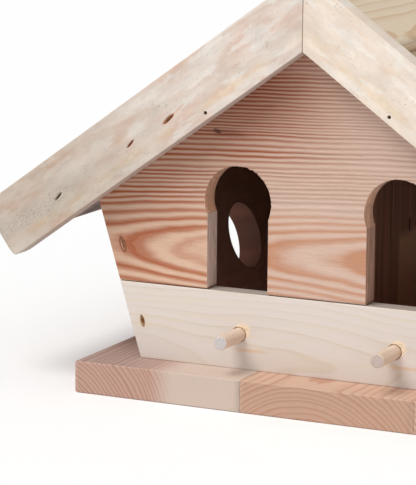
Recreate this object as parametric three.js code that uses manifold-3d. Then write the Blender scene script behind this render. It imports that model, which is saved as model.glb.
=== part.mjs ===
// Wooden hanging bird feeder, built like a small house.
//
// A three-board base carries a body whose side walls lean outwards. The front
// is a low sill board with two perches below a gable panel with two arched
// doorways; the back is the same two boards, closed. A partition of upright
// boards splits the inside into two rooms, and each side wall has a round hole.
// The roof is boards running front to back with laths over their joints, closed
// at both ends by bargeboards, with ridge caps and two screw eyes to hang it from.
//
// Units are millimetres. +Z is up and the front faces -Y. The origin is on the
// surface that the feeder stands on, under the middle of the base.

import * as THREE from "three";
import { mergeVertices } from "three/addons/utils/BufferGeometryUtils.js";
import Module from "manifold-3d";

// ---------------------------------------------------------------- dimensions
const GAP = 0.3;                 // clearance where a piece is cut by its neighbour

const BASE_HALF_W = 131.2;       // base, half width
const BASE_T = 18;               // base thickness
const BASE_JOINTS = [-29.5, 72.2]; // joints between the base boards
const OVERHANG = 24;             // base in front of and behind the body

const DEPTH = 273.2;             // body, outside faces
const BOARD_T = 12.4;            // front, back and partition boards
const WALL_T = 15.5;             // side walls, square to their faces
const FLOOR_HALF_W = 102.6;      // body half width on the base
const TAPER = 0.302;             // the sides lean out this much per unit height
const SILL_H = 43.1;             // height of the lower front board
const EASE_R = 2;                // planed rounding along the joint of the front boards

const DOOR_SHIFT = 4.5;          // the doorways sit a little to the right of the ridge
const DOOR_PITCH = 47.4;         // doorway centre from their common middle
const DOOR_HALF_W = 18.3;        // the sawn slot
const DOOR_R = 20;               // the hole-saw cut at its top
const DOOR_Z = 93.3;             // centre of that cut above the base
const PERCH_R = 4;
const PERCH_PITCH = 46.1;
const PERCH_Z = 19.4;
const PERCH_OUT = 24;            // length standing out of the board
const PERCH_IN = 12;             // length in the board

const HOLE_R = 20;               // round hole in each side wall
const HOLE_Z = 46.1;
const HOLE_Y = -1.6;             // a little in front of the middle of the wall

const PITCH = Math.atan(0.716);  // roof slope
const APEX_Z = 179.8;            // where the lower edges of the bargeboards meet
const BARGE_T = 12.6;
const BARGE_W = 34.5;
const BARGE_END = 217.7;         // length of the lower edge along the slope
const DECK_H = 10;               // underside of the roof boards above that edge
const ROOF_T = 10;               // roof boards
const DECK_JOINT = 104.5;        // joint between the two boards of a side, down the slope
const DECK_END = 215;            // lower end of the roof boards
const LATH_W = 28;               // lath over that joint
const LATH_T = 8;
const CAP_W = 34;                // ridge caps
const CAP_T = 8;

// ------------------------------------------------------------ small helpers
const wasm = await Module();
wasm.setup();

function solid(geometry) {
  const g = geometry.clone();
  g.deleteAttribute("normal");
  g.deleteAttribute("uv");
  const m = mergeVertices(g, 1e-4);
  return new wasm.Manifold(new wasm.Mesh({
    numProp: 3,
    vertProperties: new Float32Array(m.attributes.position.array),
    triVerts: new Uint32Array(m.index.array),
  }));
}

function geometryOf(manifold) {
  const mesh = manifold.getMesh();
  const n = mesh.numProp;
  const count = mesh.vertProperties.length / n;
  const pos = new Float32Array(count * 3);
  for (let i = 0; i < count; i++) {
    for (let k = 0; k < 3; k++) pos[3 * i + k] = mesh.vertProperties[n * i + k];
  }
  const g = new THREE.BufferGeometry();
  g.setAttribute("position", new THREE.BufferAttribute(pos, 3));
  g.setIndex(new THREE.BufferAttribute(new Uint32Array(mesh.triVerts), 1));
  g.computeVertexNormals();
  return g;
}

function cut(geometry, ...tools) {
  let body = solid(geometry);
  for (const tool of tools) body = body.subtract(solid(tool));
  return geometryOf(body);
}

function shapeOf(points) {
  const s = new THREE.Shape();
  points.forEach(([a, b], i) => (i ? s.lineTo(a, b) : s.moveTo(a, b)));
  s.closePath();
  return s;
}

// An outline in X and Z, filled from y0 to y1.
function plateXZ(outline, y0, y1) {
  const shape = outline.isShape ? outline : shapeOf(outline);
  const g = new THREE.ExtrudeGeometry(shape, { depth: y1 - y0, bevelEnabled: false, curveSegments: 24 });
  g.rotateX(Math.PI / 2);
  g.translate(0, y1, 0);
  return g;
}

// An outline in Y and Z, filled from x0 to x1.
function barYZ(outline, x0, x1) {
  const g = new THREE.ExtrudeGeometry(shapeOf(outline), { depth: x1 - x0, bevelEnabled: false });
  g.applyMatrix4(new THREE.Matrix4().makeBasis(
    new THREE.Vector3(0, 1, 0), new THREE.Vector3(0, 0, 1), new THREE.Vector3(1, 0, 0)));
  g.translate(x0, 0, 0);
  return g;
}

function box(x0, x1, y0, y1, z0, z1) {
  const g = new THREE.BoxGeometry(x1 - x0, y1 - y0, z1 - z0);
  g.translate((x0 + x1) / 2, (y0 + y1) / 2, (z0 + z1) / 2);
  return g;
}

// A cutter along X that leaves a rounding of radius r on the edge (y, z);
// sy and sz point from the edge into the wood.
function easing(y, z, sy, sz, r) {
  const p = [[y - sy, z - sz], [y + sy * r, z - sz]];
  const steps = 5;
  for (let i = 0; i <= steps; i++) {
    const a = (i / steps) * Math.PI / 2;
    p.push([y + sy * (r - r * Math.sin(a)), z + sz * (r - r * Math.cos(a))]);
  }
  p.push([y - sy, z + sz * r]);
  return barYZ(p, -200, 200);
}

// ------------------------------------------------------------------ levels
const FRONT = -DEPTH / 2;
const REAR = DEPTH / 2;
const INNER_FRONT = FRONT + BOARD_T + GAP;
const INNER_REAR = REAR - BOARD_T - GAP;
const DECK = BASE_T;             // top of the base
const COS = Math.cos(PITCH);
const SIN = Math.sin(PITCH);
const TAN = Math.tan(PITCH);
const halfWidth = (z) => FLOOR_HALF_W + TAPER * z;

// Slope coordinates: s runs down the slope from the ridge, h stands square on it,
// measured from the bargeboards' lower edge. side is -1 on the left, 1 on the right.
const onSlope = (side, s, h) => [side * (s * COS + h * SIN), DECK + APEX_Z - s * SIN + h * COS];
const slopeZ = (x, h) => APEX_Z + h / COS - TAN * Math.abs(x);

// --------------------------------------------------------------- materials
const finish = (color, roughness = 0.8, metalness = 0) =>
  new THREE.MeshStandardMaterial({ color, roughness, metalness });
const larch = () => finish(0xc99a7c);
const larchPale = () => finish(0xd4b49c);
const larchDark = () => finish(0x8d6450);
const pine = () => finish(0xe0d0bd);
const pineWorn = () => finish(0xd2bea6);
const beech = () => finish(0xd3bba5);
const steel = () => finish(0x6d675f, 0.5, 0.9);
const zinc = () => finish(0x9a9c9c, 0.42, 0.95);

const feeder = new THREE.Group();
feeder.name = "hanging_bird_feeder";

function add(parent, name, geometry, material) {
  const mesh = new THREE.Mesh(geometry, material);
  mesh.name = name;
  parent.add(mesh);
  return mesh;
}

// --------------------------------------------------------------- fasteners
// A wire staple: crown along X at the origin, legs down -Z.
const STAPLE = { crown: 5.8, wire: 1.15, thick: 0.7, leg: 15 };

function stapleGeometry(leg = STAPLE.leg) {
  const w = STAPLE.crown / 2, t = STAPLE.thick;
  const outline = [[-w, -leg], [-w + t, -leg], [-w + t, -t], [w - t, -t], [w - t, -leg],
    [w, -leg], [w, -0.35], [w - 0.35, 0], [-w + 0.35, 0], [-w, -0.35]];
  const g = new THREE.ExtrudeGeometry(shapeOf(outline), { depth: STAPLE.wire, bevelEnabled: false });
  g.rotateX(Math.PI / 2);
  g.translate(0, STAPLE.wire / 2, 0);
  return g;
}

// The slot that it is driven into, a little wider than the wire all round.
function stapleSlot(sink, leg = STAPLE.leg) {
  const g = new THREE.BoxGeometry(STAPLE.crown + 2 * GAP, STAPLE.wire + 2 * GAP, leg + sink + 1 + GAP);
  g.translate(0, 0, (sink + 1 - leg - GAP) / 2);
  return g;
}

// A headless pin, slightly sunk: axis down -Z.
function pinGeometry(length = 22, r = 0.9) {
  const p = [[0, -length], [r * 0.35, -length], [r, -length + 2.2], [r, -0.4],
    [r * 1.35, -0.4], [r * 1.35, 0], [0, 0]];
  const g = new THREE.LatheGeometry(p.map(([a, b]) => new THREE.Vector2(a, b)), 12);
  g.rotateX(Math.PI / 2);
  return g;
}

function pinHole(sink, length = 22, r = 0.9) {
  const g = new THREE.CylinderGeometry(r * 1.35 + GAP, r * 1.35 + GAP, length + sink + 1 + GAP, 14);
  g.rotateX(Math.PI / 2);
  g.translate(0, 0, (sink + 1 - length - GAP) / 2);
  return g;
}

// Every fastener goes at a point on a face, with its outward direction and the
// direction of its crown. All boards are cut by every clearance they meet.
const fasteners = [];

function fasten(name, kind, [x, y, z], out, along, sink, length) {
  const outward = new THREE.Vector3(...out).normalize();
  const crown = new THREE.Vector3(...along).normalize();
  const third = new THREE.Vector3().crossVectors(outward, crown).normalize();
  const frame = new THREE.Matrix4().makeBasis(crown, third, outward);
  const seat = new THREE.Vector3(x, y, z).addScaledVector(outward, -sink);
  frame.setPosition(seat);
  const clearance = (kind === "staple" ? stapleSlot(sink, length) : pinHole(sink, length)).applyMatrix4(frame);
  fasteners.push({ name, kind, frame, length, clearance });
}

// On the front and back of the roof, in slope coordinates. turn is the crown's
// angle from level, seen from in front of that bargeboard.
function fastenBarge(name, kind, side, rear, s, h, turnDeg, sink, length) {
  const [x, z] = onSlope(side, s, h);
  const y = rear ? REAR + BARGE_T : FRONT - BARGE_T;
  const a = THREE.MathUtils.degToRad(turnDeg);
  fasten(name, kind, [x, y, z], [0, rear ? 1 : -1, 0], [Math.cos(a), 0, Math.sin(a)], sink, length);
}

fastenBarge("barge_staple_front_left_low", "staple", -1, false, 172.5, 13.4, 50, 1.0, 22);
fastenBarge("barge_staple_front_left_mid", "staple", -1, false, 116.4, 13.8, 50, 0.9, 22);
fastenBarge("barge_staple_front_left_top", "staple", -1, false, 88.4, 12.6, 44, 1.1, 22);
fastenBarge("barge_pin_front_left", "pin", -1, false, 67.4, 3.6, 0, 0.6, 22);
fastenBarge("barge_staple_front_right_low", "staple", 1, false, 174.0, 13.6, -48, 0.9, 22);
fastenBarge("barge_staple_front_right_mid", "staple", 1, false, 118.0, 13.5, -46, 1.0, 22);
fastenBarge("barge_staple_front_right_top", "staple", 1, false, 88.0, 14.5, -50, 1.0, 22);
fastenBarge("barge_pin_front_right", "pin", 1, false, 59.2, 3.6, 0, 0.6, 22);
fastenBarge("barge_staple_rear_left_low", "staple", -1, true, 170.0, 13.8, 46, 1.0, 22);
fastenBarge("barge_staple_rear_left_mid", "staple", -1, true, 102.0, 13.6, 49, 1.0, 22);
fastenBarge("barge_pin_rear_left", "pin", -1, true, 62.0, 3.8, 0, 0.6, 22);
fastenBarge("barge_staple_rear_right_low", "staple", 1, true, 171.5, 13.4, -47, 1.0, 22);
fastenBarge("barge_staple_rear_right_mid", "staple", 1, true, 104.0, 13.8, -50, 1.0, 22);
fastenBarge("barge_pin_rear_right", "pin", 1, true, 64.0, 3.6, 0, 0.6, 22);

// Through the front and back boards into the ends of the side walls, in line with them.
for (const [side, sideName] of [[-1, "left"], [1, "right"]]) {
  const lean = [side * TAPER, 0, 1];
  for (const [y, out, faceName] of [[FRONT, -1, "front"], [REAR, 1, "rear"]]) {
    const panelZ = side < 0 && out < 0 ? 63.9 : 66.5;
    fasten(`panel_staple_${faceName}_${sideName}`, "staple",
      [side * (halfWidth(panelZ) - 8), y, DECK + panelZ], [0, out, 0], lean, 0.9, 26);
    const sillZ = side < 0 && out < 0 ? 21.4 : 20.0;
    fasten(`sill_pin_${faceName}_${sideName}`, "pin",
      [side * (halfWidth(sillZ) - 7.8), y, DECK + sillZ], [0, out, 0], [1, 0, 0], 0.7, 26);
  }
}

// Up through the base into the lower boards of the front and back.
for (const [y, faceName] of [[FRONT + BOARD_T / 2, "front"], [REAR - BOARD_T / 2, "rear"]]) {
  for (const [x, at] of [[-66, "left"], [22, "middle"], [88, "right"]]) {
    fasten(`base_staple_${faceName}_${at}`, "staple", [x, y, 0], [0, 0, -1], [1, 0, 0], 0.8, 30);
  }
}

// Cuts a board by every fastener that reaches its box.
function board(name, geometry, material, ...tools) {
  geometry.computeBoundingBox();
  const reach = geometry.boundingBox.clone();
  const hits = [];
  for (const f of fasteners) {
    f.clearance.computeBoundingBox();
    if (f.clearance.boundingBox.intersectsBox(reach)) hits.push(f.clearance);
  }
  add(feeder, name, cut(geometry, ...tools, ...hits), material);
}

// -------------------------------------------------------------------- base
const BASE_Y = DEPTH / 2 + OVERHANG;
const edges = [-BASE_HALF_W, ...BASE_JOINTS, BASE_HALF_W];
["base_board_left", "base_board_centre", "base_board_right"].forEach((name, i) => {
  const x0 = edges[i] + (i > 0 ? GAP / 2 : 0);
  const x1 = edges[i + 1] - (i < 2 ? GAP / 2 : 0);
  board(name, box(x0, x1, -BASE_Y, BASE_Y, 0, BASE_T), i === 0 ? larchPale() : larch());
});

// ----------------------------------------------------- lower boards, front and back
const DOORS = [DOOR_SHIFT - DOOR_PITCH, DOOR_SHIFT + DOOR_PITCH];
const PERCHES = [DOOR_SHIFT - PERCH_PITCH, DOOR_SHIFT + PERCH_PITCH];
const sillOutline = [
  [-halfWidth(0), DECK], [halfWidth(0), DECK],
  [halfWidth(SILL_H), DECK + SILL_H], [-halfWidth(SILL_H), DECK + SILL_H]];

function perchHole(x) {
  const g = new THREE.CylinderGeometry(PERCH_R + GAP, PERCH_R + GAP, BOARD_T + 4, 28);
  g.translate(x, FRONT + BOARD_T / 2, DECK + PERCH_Z);
  return g;
}

const sillTop = DECK + SILL_H;
board("front_lower_board", plateXZ(sillOutline, FRONT, FRONT + BOARD_T), pine(),
  easing(FRONT, sillTop, 1, -1, EASE_R), easing(FRONT + BOARD_T, sillTop, -1, -1, EASE_R),
  perchHole(PERCHES[0]), perchHole(PERCHES[1]));
board("rear_lower_board", plateXZ(sillOutline, REAR - BOARD_T, REAR), pine(),
  easing(REAR, sillTop, -1, -1, EASE_R), easing(REAR - BOARD_T, sillTop, 1, -1, EASE_R));

// ------------------------------------------------------- gable panels, front and back
const panelFoot = SILL_H + GAP;
const panelH = DECK_H - GAP;     // the panel stops just under the roof boards
const panelShoulder = (() => {   // where the leaning side meets the slope
  const x = (FLOOR_HALF_W + TAPER * slopeZ(0, panelH)) / (1 + TAPER * TAN);
  return [x, slopeZ(x, panelH)];
})();
const panelOutline = [
  [-halfWidth(panelFoot), DECK + panelFoot], [halfWidth(panelFoot), DECK + panelFoot],
  [panelShoulder[0], DECK + panelShoulder[1]], [0, DECK + slopeZ(0, panelH)],
  [-panelShoulder[0], DECK + panelShoulder[1]]];

// One doorway: a slot open at the panel's foot, with a slightly wider round cut on top.
function doorway(x) {
  const drop = Math.sqrt(DOOR_R ** 2 - DOOR_HALF_W ** 2);
  const start = Math.atan2(-drop, DOOR_HALF_W);
  const p = [[x - DOOR_HALF_W, 0], [x + DOOR_HALF_W, 0]];
  const steps = 34;
  for (let i = 0; i <= steps; i++) {
    const a = start + (i / steps) * (Math.PI - 2 * start);
    p.push([x + DOOR_R * Math.cos(a), DECK + DOOR_Z + DOOR_R * Math.sin(a)]);
  }
  return plateXZ(p, FRONT - 2, FRONT + BOARD_T + 2);
}

const foot = DECK + panelFoot;
board("front_panel", plateXZ(panelOutline, FRONT, FRONT + BOARD_T), larch(),
  easing(FRONT, foot, 1, 1, EASE_R), easing(FRONT + BOARD_T, foot, -1, 1, EASE_R),
  doorway(DOORS[0]), doorway(DOORS[1]));
board("rear_panel", plateXZ(panelOutline, REAR - BOARD_T, REAR), larch(),
  easing(REAR, foot, -1, 1, EASE_R), easing(REAR - BOARD_T, foot, 1, 1, EASE_R));

// -------------------------------------------------------------- side walls
const wallRun = WALL_T * Math.sqrt(1 + TAPER * TAPER);   // thickness, level
function wall(name, side) {
  const z0 = GAP;
  const top = (inset) => {       // where the face at this inset meets the roof boards
    const x = (FLOOR_HALF_W - inset + TAPER * slopeZ(0, panelH)) / (1 + TAPER * TAN);
    return [side * x, DECK + slopeZ(x, panelH)];
  };
  const outline = [
    [side * (halfWidth(z0) - wallRun), DECK + z0], [side * halfWidth(z0), DECK + z0],
    top(0), top(wallRun)];
  const bore = new THREE.CylinderGeometry(HOLE_R, HOLE_R, 60, 48);
  bore.rotateZ(Math.PI / 2 - side * Math.atan(TAPER));
  bore.translate(side * (halfWidth(HOLE_Z) - wallRun / 2), HOLE_Y, DECK + HOLE_Z);
  board(name, plateXZ(outline, INNER_FRONT, INNER_REAR), larchDark(), bore);
}
wall("left_wall", -1);
wall("right_wall", 1);

// --------------------------------------- partition between the two rooms, ridge batten
const BATTEN_HALF_W = 10;
const BATTEN_FOOT = 163;
const battenTop = slopeZ(0, panelH - GAP);
const battenSide = slopeZ(BATTEN_HALF_W, panelH - GAP);

// A screw eye: ring at the top in the plane of the ridge, shank down -Z from the origin.
const EYE = { ring: 6.4, wire: 1.4, shank: 1.5, collar: 3.2, length: 40, stem: 2.2 };
const EYE_Y = [-82, 82];
const capTop = DECK_H + ROOF_T + GAP + CAP_T;
const eyeSeat = DECK + slopeZ(0, capTop);

const eyeHole = (y) => {
  const g = new THREE.CylinderGeometry(EYE.shank + GAP, EYE.shank + GAP, EYE.length + 6, 16);
  g.rotateX(Math.PI / 2);
  g.translate(0, y, eyeSeat - (EYE.length + 6) / 2 + 3);
  return g;
};
const eyeHoles = EYE_Y.map(eyeHole);

board("ridge_batten", plateXZ([
  [-BATTEN_HALF_W, DECK + BATTEN_FOOT], [BATTEN_HALF_W, DECK + BATTEN_FOOT],
  [BATTEN_HALF_W, DECK + battenSide], [0, DECK + battenTop], [-BATTEN_HALF_W, DECK + battenSide]],
  INNER_FRONT, INNER_REAR), pine(), ...eyeHoles);

const third = (INNER_REAR - INNER_FRONT) / 3;
["front", "middle", "rear"].forEach((at, i) => {
  const y0 = INNER_FRONT + i * third + (i > 0 ? GAP / 2 : 0);
  const y1 = INNER_FRONT + (i + 1) * third - (i < 2 ? GAP / 2 : 0);
  board(`partition_board_${at}`, box(DOOR_SHIFT - BOARD_T / 2, DOOR_SHIFT + BOARD_T / 2,
    y0, y1, DECK + GAP, DECK + BATTEN_FOOT - GAP), larchDark());
});

// -------------------------------------------------------------------- roof
// A board lying on the slope, from s0 to s1 and from h0 to h1. At the ridge its end
// is cut plumb.
function slopeBoard(name, side, [s0, s1], [h0, h1], ridge, material, ...tools) {
  const start = (h) => (ridge ? -h * TAN + GAP / 2 / COS : s0);
  const pts = [[start(h0), h0], [s1, h0], [s1, h1], [start(h1), h1]]
    .map(([s, h]) => onSlope(side, s, h));
  board(name, plateXZ(pts, FRONT + GAP, REAR - GAP), material, ...tools);
}

// Two boards a side with a lath over their joint, and a cap on each side of the ridge.
const deckTop = DECK_H + ROOF_T;
for (const [side, at] of [[-1, "left"], [1, "right"]]) {
  slopeBoard(`roof_lower_board_${at}`, side, [DECK_JOINT + GAP / 2, DECK_END], [DECK_H, deckTop], false, pineWorn());
  slopeBoard(`roof_upper_board_${at}`, side, [0, DECK_JOINT - GAP / 2], [DECK_H, deckTop], true, pineWorn(), ...eyeHoles);
  slopeBoard(`roof_lath_${at}`, side, [DECK_JOINT - LATH_W / 2, DECK_JOINT + LATH_W / 2],
    [deckTop + GAP, deckTop + GAP + LATH_T], false, pineWorn());
  slopeBoard(`ridge_cap_${at}`, side, [0, CAP_W], [deckTop + GAP, capTop], true, pineWorn(), ...eyeHoles);
}

function barge(name, side, rear) {
  const apex = (h) => -h * TAN + GAP / 2 / COS;   // plumb cut at the ridge
  const pts = [[apex(0), 0], [BARGE_END, 0], [BARGE_END, BARGE_W], [apex(BARGE_W), BARGE_W]]
    .map(([s, h]) => onSlope(side, s, h));
  const y0 = rear ? REAR : FRONT - BARGE_T;
  board(name, plateXZ(pts, y0, y0 + BARGE_T), pine());
}
barge("bargeboard_front_left", -1, false);
barge("bargeboard_front_right", 1, false);
barge("bargeboard_rear_left", -1, true);
barge("bargeboard_rear_right", 1, true);

// ----------------------------------------------------------------- perches
function perchGeometry() {
  const c = 0.5;
  const p = [[0, -PERCH_IN], [PERCH_R - c, -PERCH_IN], [PERCH_R, -PERCH_IN + c],
    [PERCH_R, PERCH_OUT - c], [PERCH_R - c, PERCH_OUT], [0, PERCH_OUT]];
  return new THREE.LatheGeometry(p.map(([a, b]) => new THREE.Vector2(a, b)), 28);
}
["perch_left", "perch_right"].forEach((name, i) => {
  const perch = add(feeder, name, perchGeometry(), beech());
  perch.position.set(PERCHES[i], FRONT, DECK + PERCH_Z);
  perch.rotation.set(Math.PI, 0, 0);   // its long end points forwards
});

// -------------------------------------------------------------- screw eyes
function eyeGeometry() {
  const ring = new THREE.TorusGeometry(EYE.ring, EYE.wire, 10, 32);
  ring.rotateY(Math.PI / 2);
  ring.translate(0, 0, EYE.stem + EYE.ring + EYE.wire);
  const top = EYE.stem + 2 * EYE.wire;
  const p = [[0, -EYE.length], [0.4, -EYE.length], [EYE.shank, -EYE.length + 5], [EYE.shank, 0],
    [EYE.collar, 0], [EYE.collar, 0.8], [EYE.shank, 1.2], [EYE.shank, top - 1.2], [0, top - 0.6]];
  const stem = new THREE.LatheGeometry(p.map(([a, b]) => new THREE.Vector2(a, b)), 16);
  stem.rotateX(Math.PI / 2);
  return geometryOf(solid(ring).add(solid(stem)));
}
["screw_eye_front", "screw_eye_rear"].forEach((name, i) => {
  const eye = add(feeder, name, eyeGeometry(), zinc());
  eye.position.set(0, EYE_Y[i], eyeSeat);
});

// ----------------------------------------------------- the fasteners themselves
for (const f of fasteners) {
  const g = f.kind === "staple" ? stapleGeometry(f.length) : pinGeometry(f.length);
  const mesh = add(feeder, f.name, g, steel());
  f.frame.decompose(mesh.position, mesh.quaternion, mesh.scale);
}

export default feeder;
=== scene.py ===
import math

import bpy
import bmesh
import numpy as np
from mathutils import Matrix, Vector, noise as mnoise
from mathutils.geometry import delaunay_2d_cdt


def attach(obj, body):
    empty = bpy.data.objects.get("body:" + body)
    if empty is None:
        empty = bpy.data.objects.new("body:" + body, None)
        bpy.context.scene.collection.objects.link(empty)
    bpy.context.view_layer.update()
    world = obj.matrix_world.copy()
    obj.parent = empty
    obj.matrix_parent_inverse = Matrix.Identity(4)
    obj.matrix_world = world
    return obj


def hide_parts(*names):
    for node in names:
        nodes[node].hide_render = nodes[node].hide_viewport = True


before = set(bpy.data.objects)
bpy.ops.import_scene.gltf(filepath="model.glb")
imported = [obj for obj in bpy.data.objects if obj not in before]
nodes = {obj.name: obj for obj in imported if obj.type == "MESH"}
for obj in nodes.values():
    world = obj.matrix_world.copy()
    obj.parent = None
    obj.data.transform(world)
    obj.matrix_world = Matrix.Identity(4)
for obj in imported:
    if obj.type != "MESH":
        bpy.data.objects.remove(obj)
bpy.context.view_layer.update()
scene = bpy.context.scene

# ------------------------------------------------------------------ camera
AZ, EL, ROLL = 0.450217, 0.186846, 0.0068691
c_ = Vector((math.sin(AZ) * math.cos(EL), -math.cos(AZ) * math.cos(EL), math.sin(EL)))
r_ = Vector((math.cos(AZ), math.sin(AZ), 0.0))
u_ = c_.cross(r_)
r2 = math.cos(ROLL) * r_ + math.sin(ROLL) * u_
u2 = -math.sin(ROLL) * r_ + math.cos(ROLL) * u_
cam_data = bpy.data.cameras.new("camera")
cam = bpy.data.objects.new("camera", cam_data)
scene.collection.objects.link(cam)
m = Matrix.Identity(4)
for i in range(3):
    m[i][0], m[i][1], m[i][2] = r2[i], u2[i], c_[i]
m[0][3], m[1][3], m[2][3] = 0.56575, -1.43286, 0.35976
cam.matrix_world = m
cam_data.sensor_fit = "AUTO"
cam_data.sensor_width = 36.0
cam_data.lens = 197.08
cam_data.clip_start = 0.05
cam_data.clip_end = 200.0
scene.camera = cam
scene.view_settings.view_transform = "Standard"
scene.view_settings.look = "None"

# ----------------------------------------------------- dimensions, as in the CAD
DEPTH = 273.2
FRONT, REAR = -DEPTH / 2, DEPTH / 2
BASE_HALF_W, BASE_T, OVERHANG = 131.2, 18.0, 24.0
BASE_JOINTS = [-29.5, 72.2]
BOARD_T, WALL_T = 12.4, 15.5
FLOOR_HALF_W, TAPER, SILL_H, EASE_R = 102.6, 0.302, 43.1, 2.0
DOOR_SHIFT, DOOR_PITCH, DOOR_HALF_W, DOOR_R, DOOR_Z = 4.5, 47.4, 18.3, 20.0, 93.3
PERCH_R, PERCH_PITCH, PERCH_Z, PERCH_OUT, PERCH_IN = 4.0, 46.1, 19.4, 24.0, 12.0
HOLE_R, HOLE_Z, HOLE_Y = 20.0, 46.1, -1.6
PITCH = math.atan(0.716)
COS, SIN, TAN = math.cos(PITCH), math.sin(PITCH), math.tan(PITCH)
APEX_Z, BARGE_T, BARGE_W, BARGE_END = 179.8, 12.6, 34.5, 217.7
DECK_H, ROOF_T, DECK_JOINT, DECK_END = 10.0, 10.0, 104.5, 215.0
LATH_W, LATH_T, CAP_W, CAP_T = 28.0, 8.0, 34.0, 8.0
GAP = 0.3
DECK = BASE_T
INNER_FRONT, INNER_REAR = FRONT + BOARD_T + GAP, REAR - BOARD_T - GAP
DOORS = [DOOR_SHIFT - DOOR_PITCH, DOOR_SHIFT + DOOR_PITCH]
PERCHES = [DOOR_SHIFT - PERCH_PITCH, DOOR_SHIFT + PERCH_PITCH]


def half_width(z):
    return FLOOR_HALF_W + TAPER * z


def slope_z(x, h):
    return APEX_Z + h / COS - TAN * abs(x)


def on_slope(side, s, h):
    return (side * (s * COS + h * SIN), DECK + APEX_Z - s * SIN + h * COS)


def fbm(x, y, z, octaves=3):
    total, amp = 0.0, 1.0
    for _ in range(octaves):
        total += amp * mnoise.noise(Vector((x, y, z)))
        x, y, z, amp = x * 2.03 + 7.1, y * 2.03 - 3.7, z * 2.03 + 1.9, amp * 0.5
    return total


# ------------------------------------------------------------------ mesh kit
def area2(poly):
    p = np.asarray(poly, float)
    q = np.roll(p, -1, 0)
    return float((p[:, 0] * q[:, 1] - p[:, 1] * q[:, 0]).sum())


def resample(poly, rads, seg):
    """Splits each edge of a closed polygon; rads has one rounding radius per edge."""
    out, er, bulge = [], [], []
    n = len(poly)
    for i in range(n):
        a, b = np.array(poly[i], float), np.array(poly[(i + 1) % n], float)
        k = max(1, int(math.ceil(np.linalg.norm(b - a) / seg[i % len(seg)] - 1e-6)))
        for j in range(k):
            out.append(a + (b - a) * j / k)
            er.append(rads[i % len(rads)])
            bulge.append(4 * (j / k) * (1 - j / k) * k * 4e-4)
    return np.array(out), np.array(er), np.array(bulge)


def inset_points(p, amounts):
    """Moves each vertex so that both of its edges move inwards by their own amount."""
    n = len(p)
    e = np.roll(p, -1, 0) - p
    e = e / np.linalg.norm(e, axis=1)[:, None]
    nrm = np.c_[-e[:, 1], e[:, 0]]          # inwards for a counter-clockwise loop
    out = p.copy()
    for i in range(n):
        n1, n2, a1, a2 = nrm[i - 1], nrm[i], amounts[i - 1], amounts[i]
        det = n1[0] * n2[1] - n1[1] * n2[0]
        if abs(det) > 0.34:
            out[i] = p[i] + np.array([(a1 * n2[1] - a2 * n1[1]) / det, (a2 * n1[0] - a1 * n2[0]) / det])
        else:
            d = n1 + n2
            d /= max(np.linalg.norm(d), 1e-9)
            out[i] = p[i] + d * max(a1, a2) / max(0.6, abs(float(d @ n1)))
    return out


def bowed(p, w):
    """A hair's breadth outwards along straight edges, so that no triangle lies flat on an edge."""
    e = np.roll(p, -1, 0) - np.roll(p, 1, 0)
    e = e / np.linalg.norm(e, axis=1)[:, None]
    return p - np.c_[-e[:, 1], e[:, 0]] * w[:, None]


def inside(loops, pts):
    """Winding test of points against outline and holes."""
    res = np.zeros(len(pts), bool)
    for poly in loops:
        x, y = pts[:, 0], pts[:, 1]
        q = np.roll(poly, -1, 0)
        for (x0, y0), (x1, y1) in zip(poly, q):
            if y0 == y1:
                continue
            hit = ((y0 > y) != (y1 > y)) & (x < (x1 - x0) * (y - y0) / (y1 - y0) + x0)
            res ^= hit
    return res


def seg_dist(loops, pts):
    best = np.full(len(pts), 1e9)
    for poly in loops:
        q = np.roll(poly, -1, 0)
        for a, b in zip(poly, q):
            d = b - a
            t = np.clip(((pts - a) @ d) / max(float(d @ d), 1e-12), 0, 1)
            best = np.minimum(best, np.linalg.norm(pts - (a + t[:, None] * d), axis=1))
    return best


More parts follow.
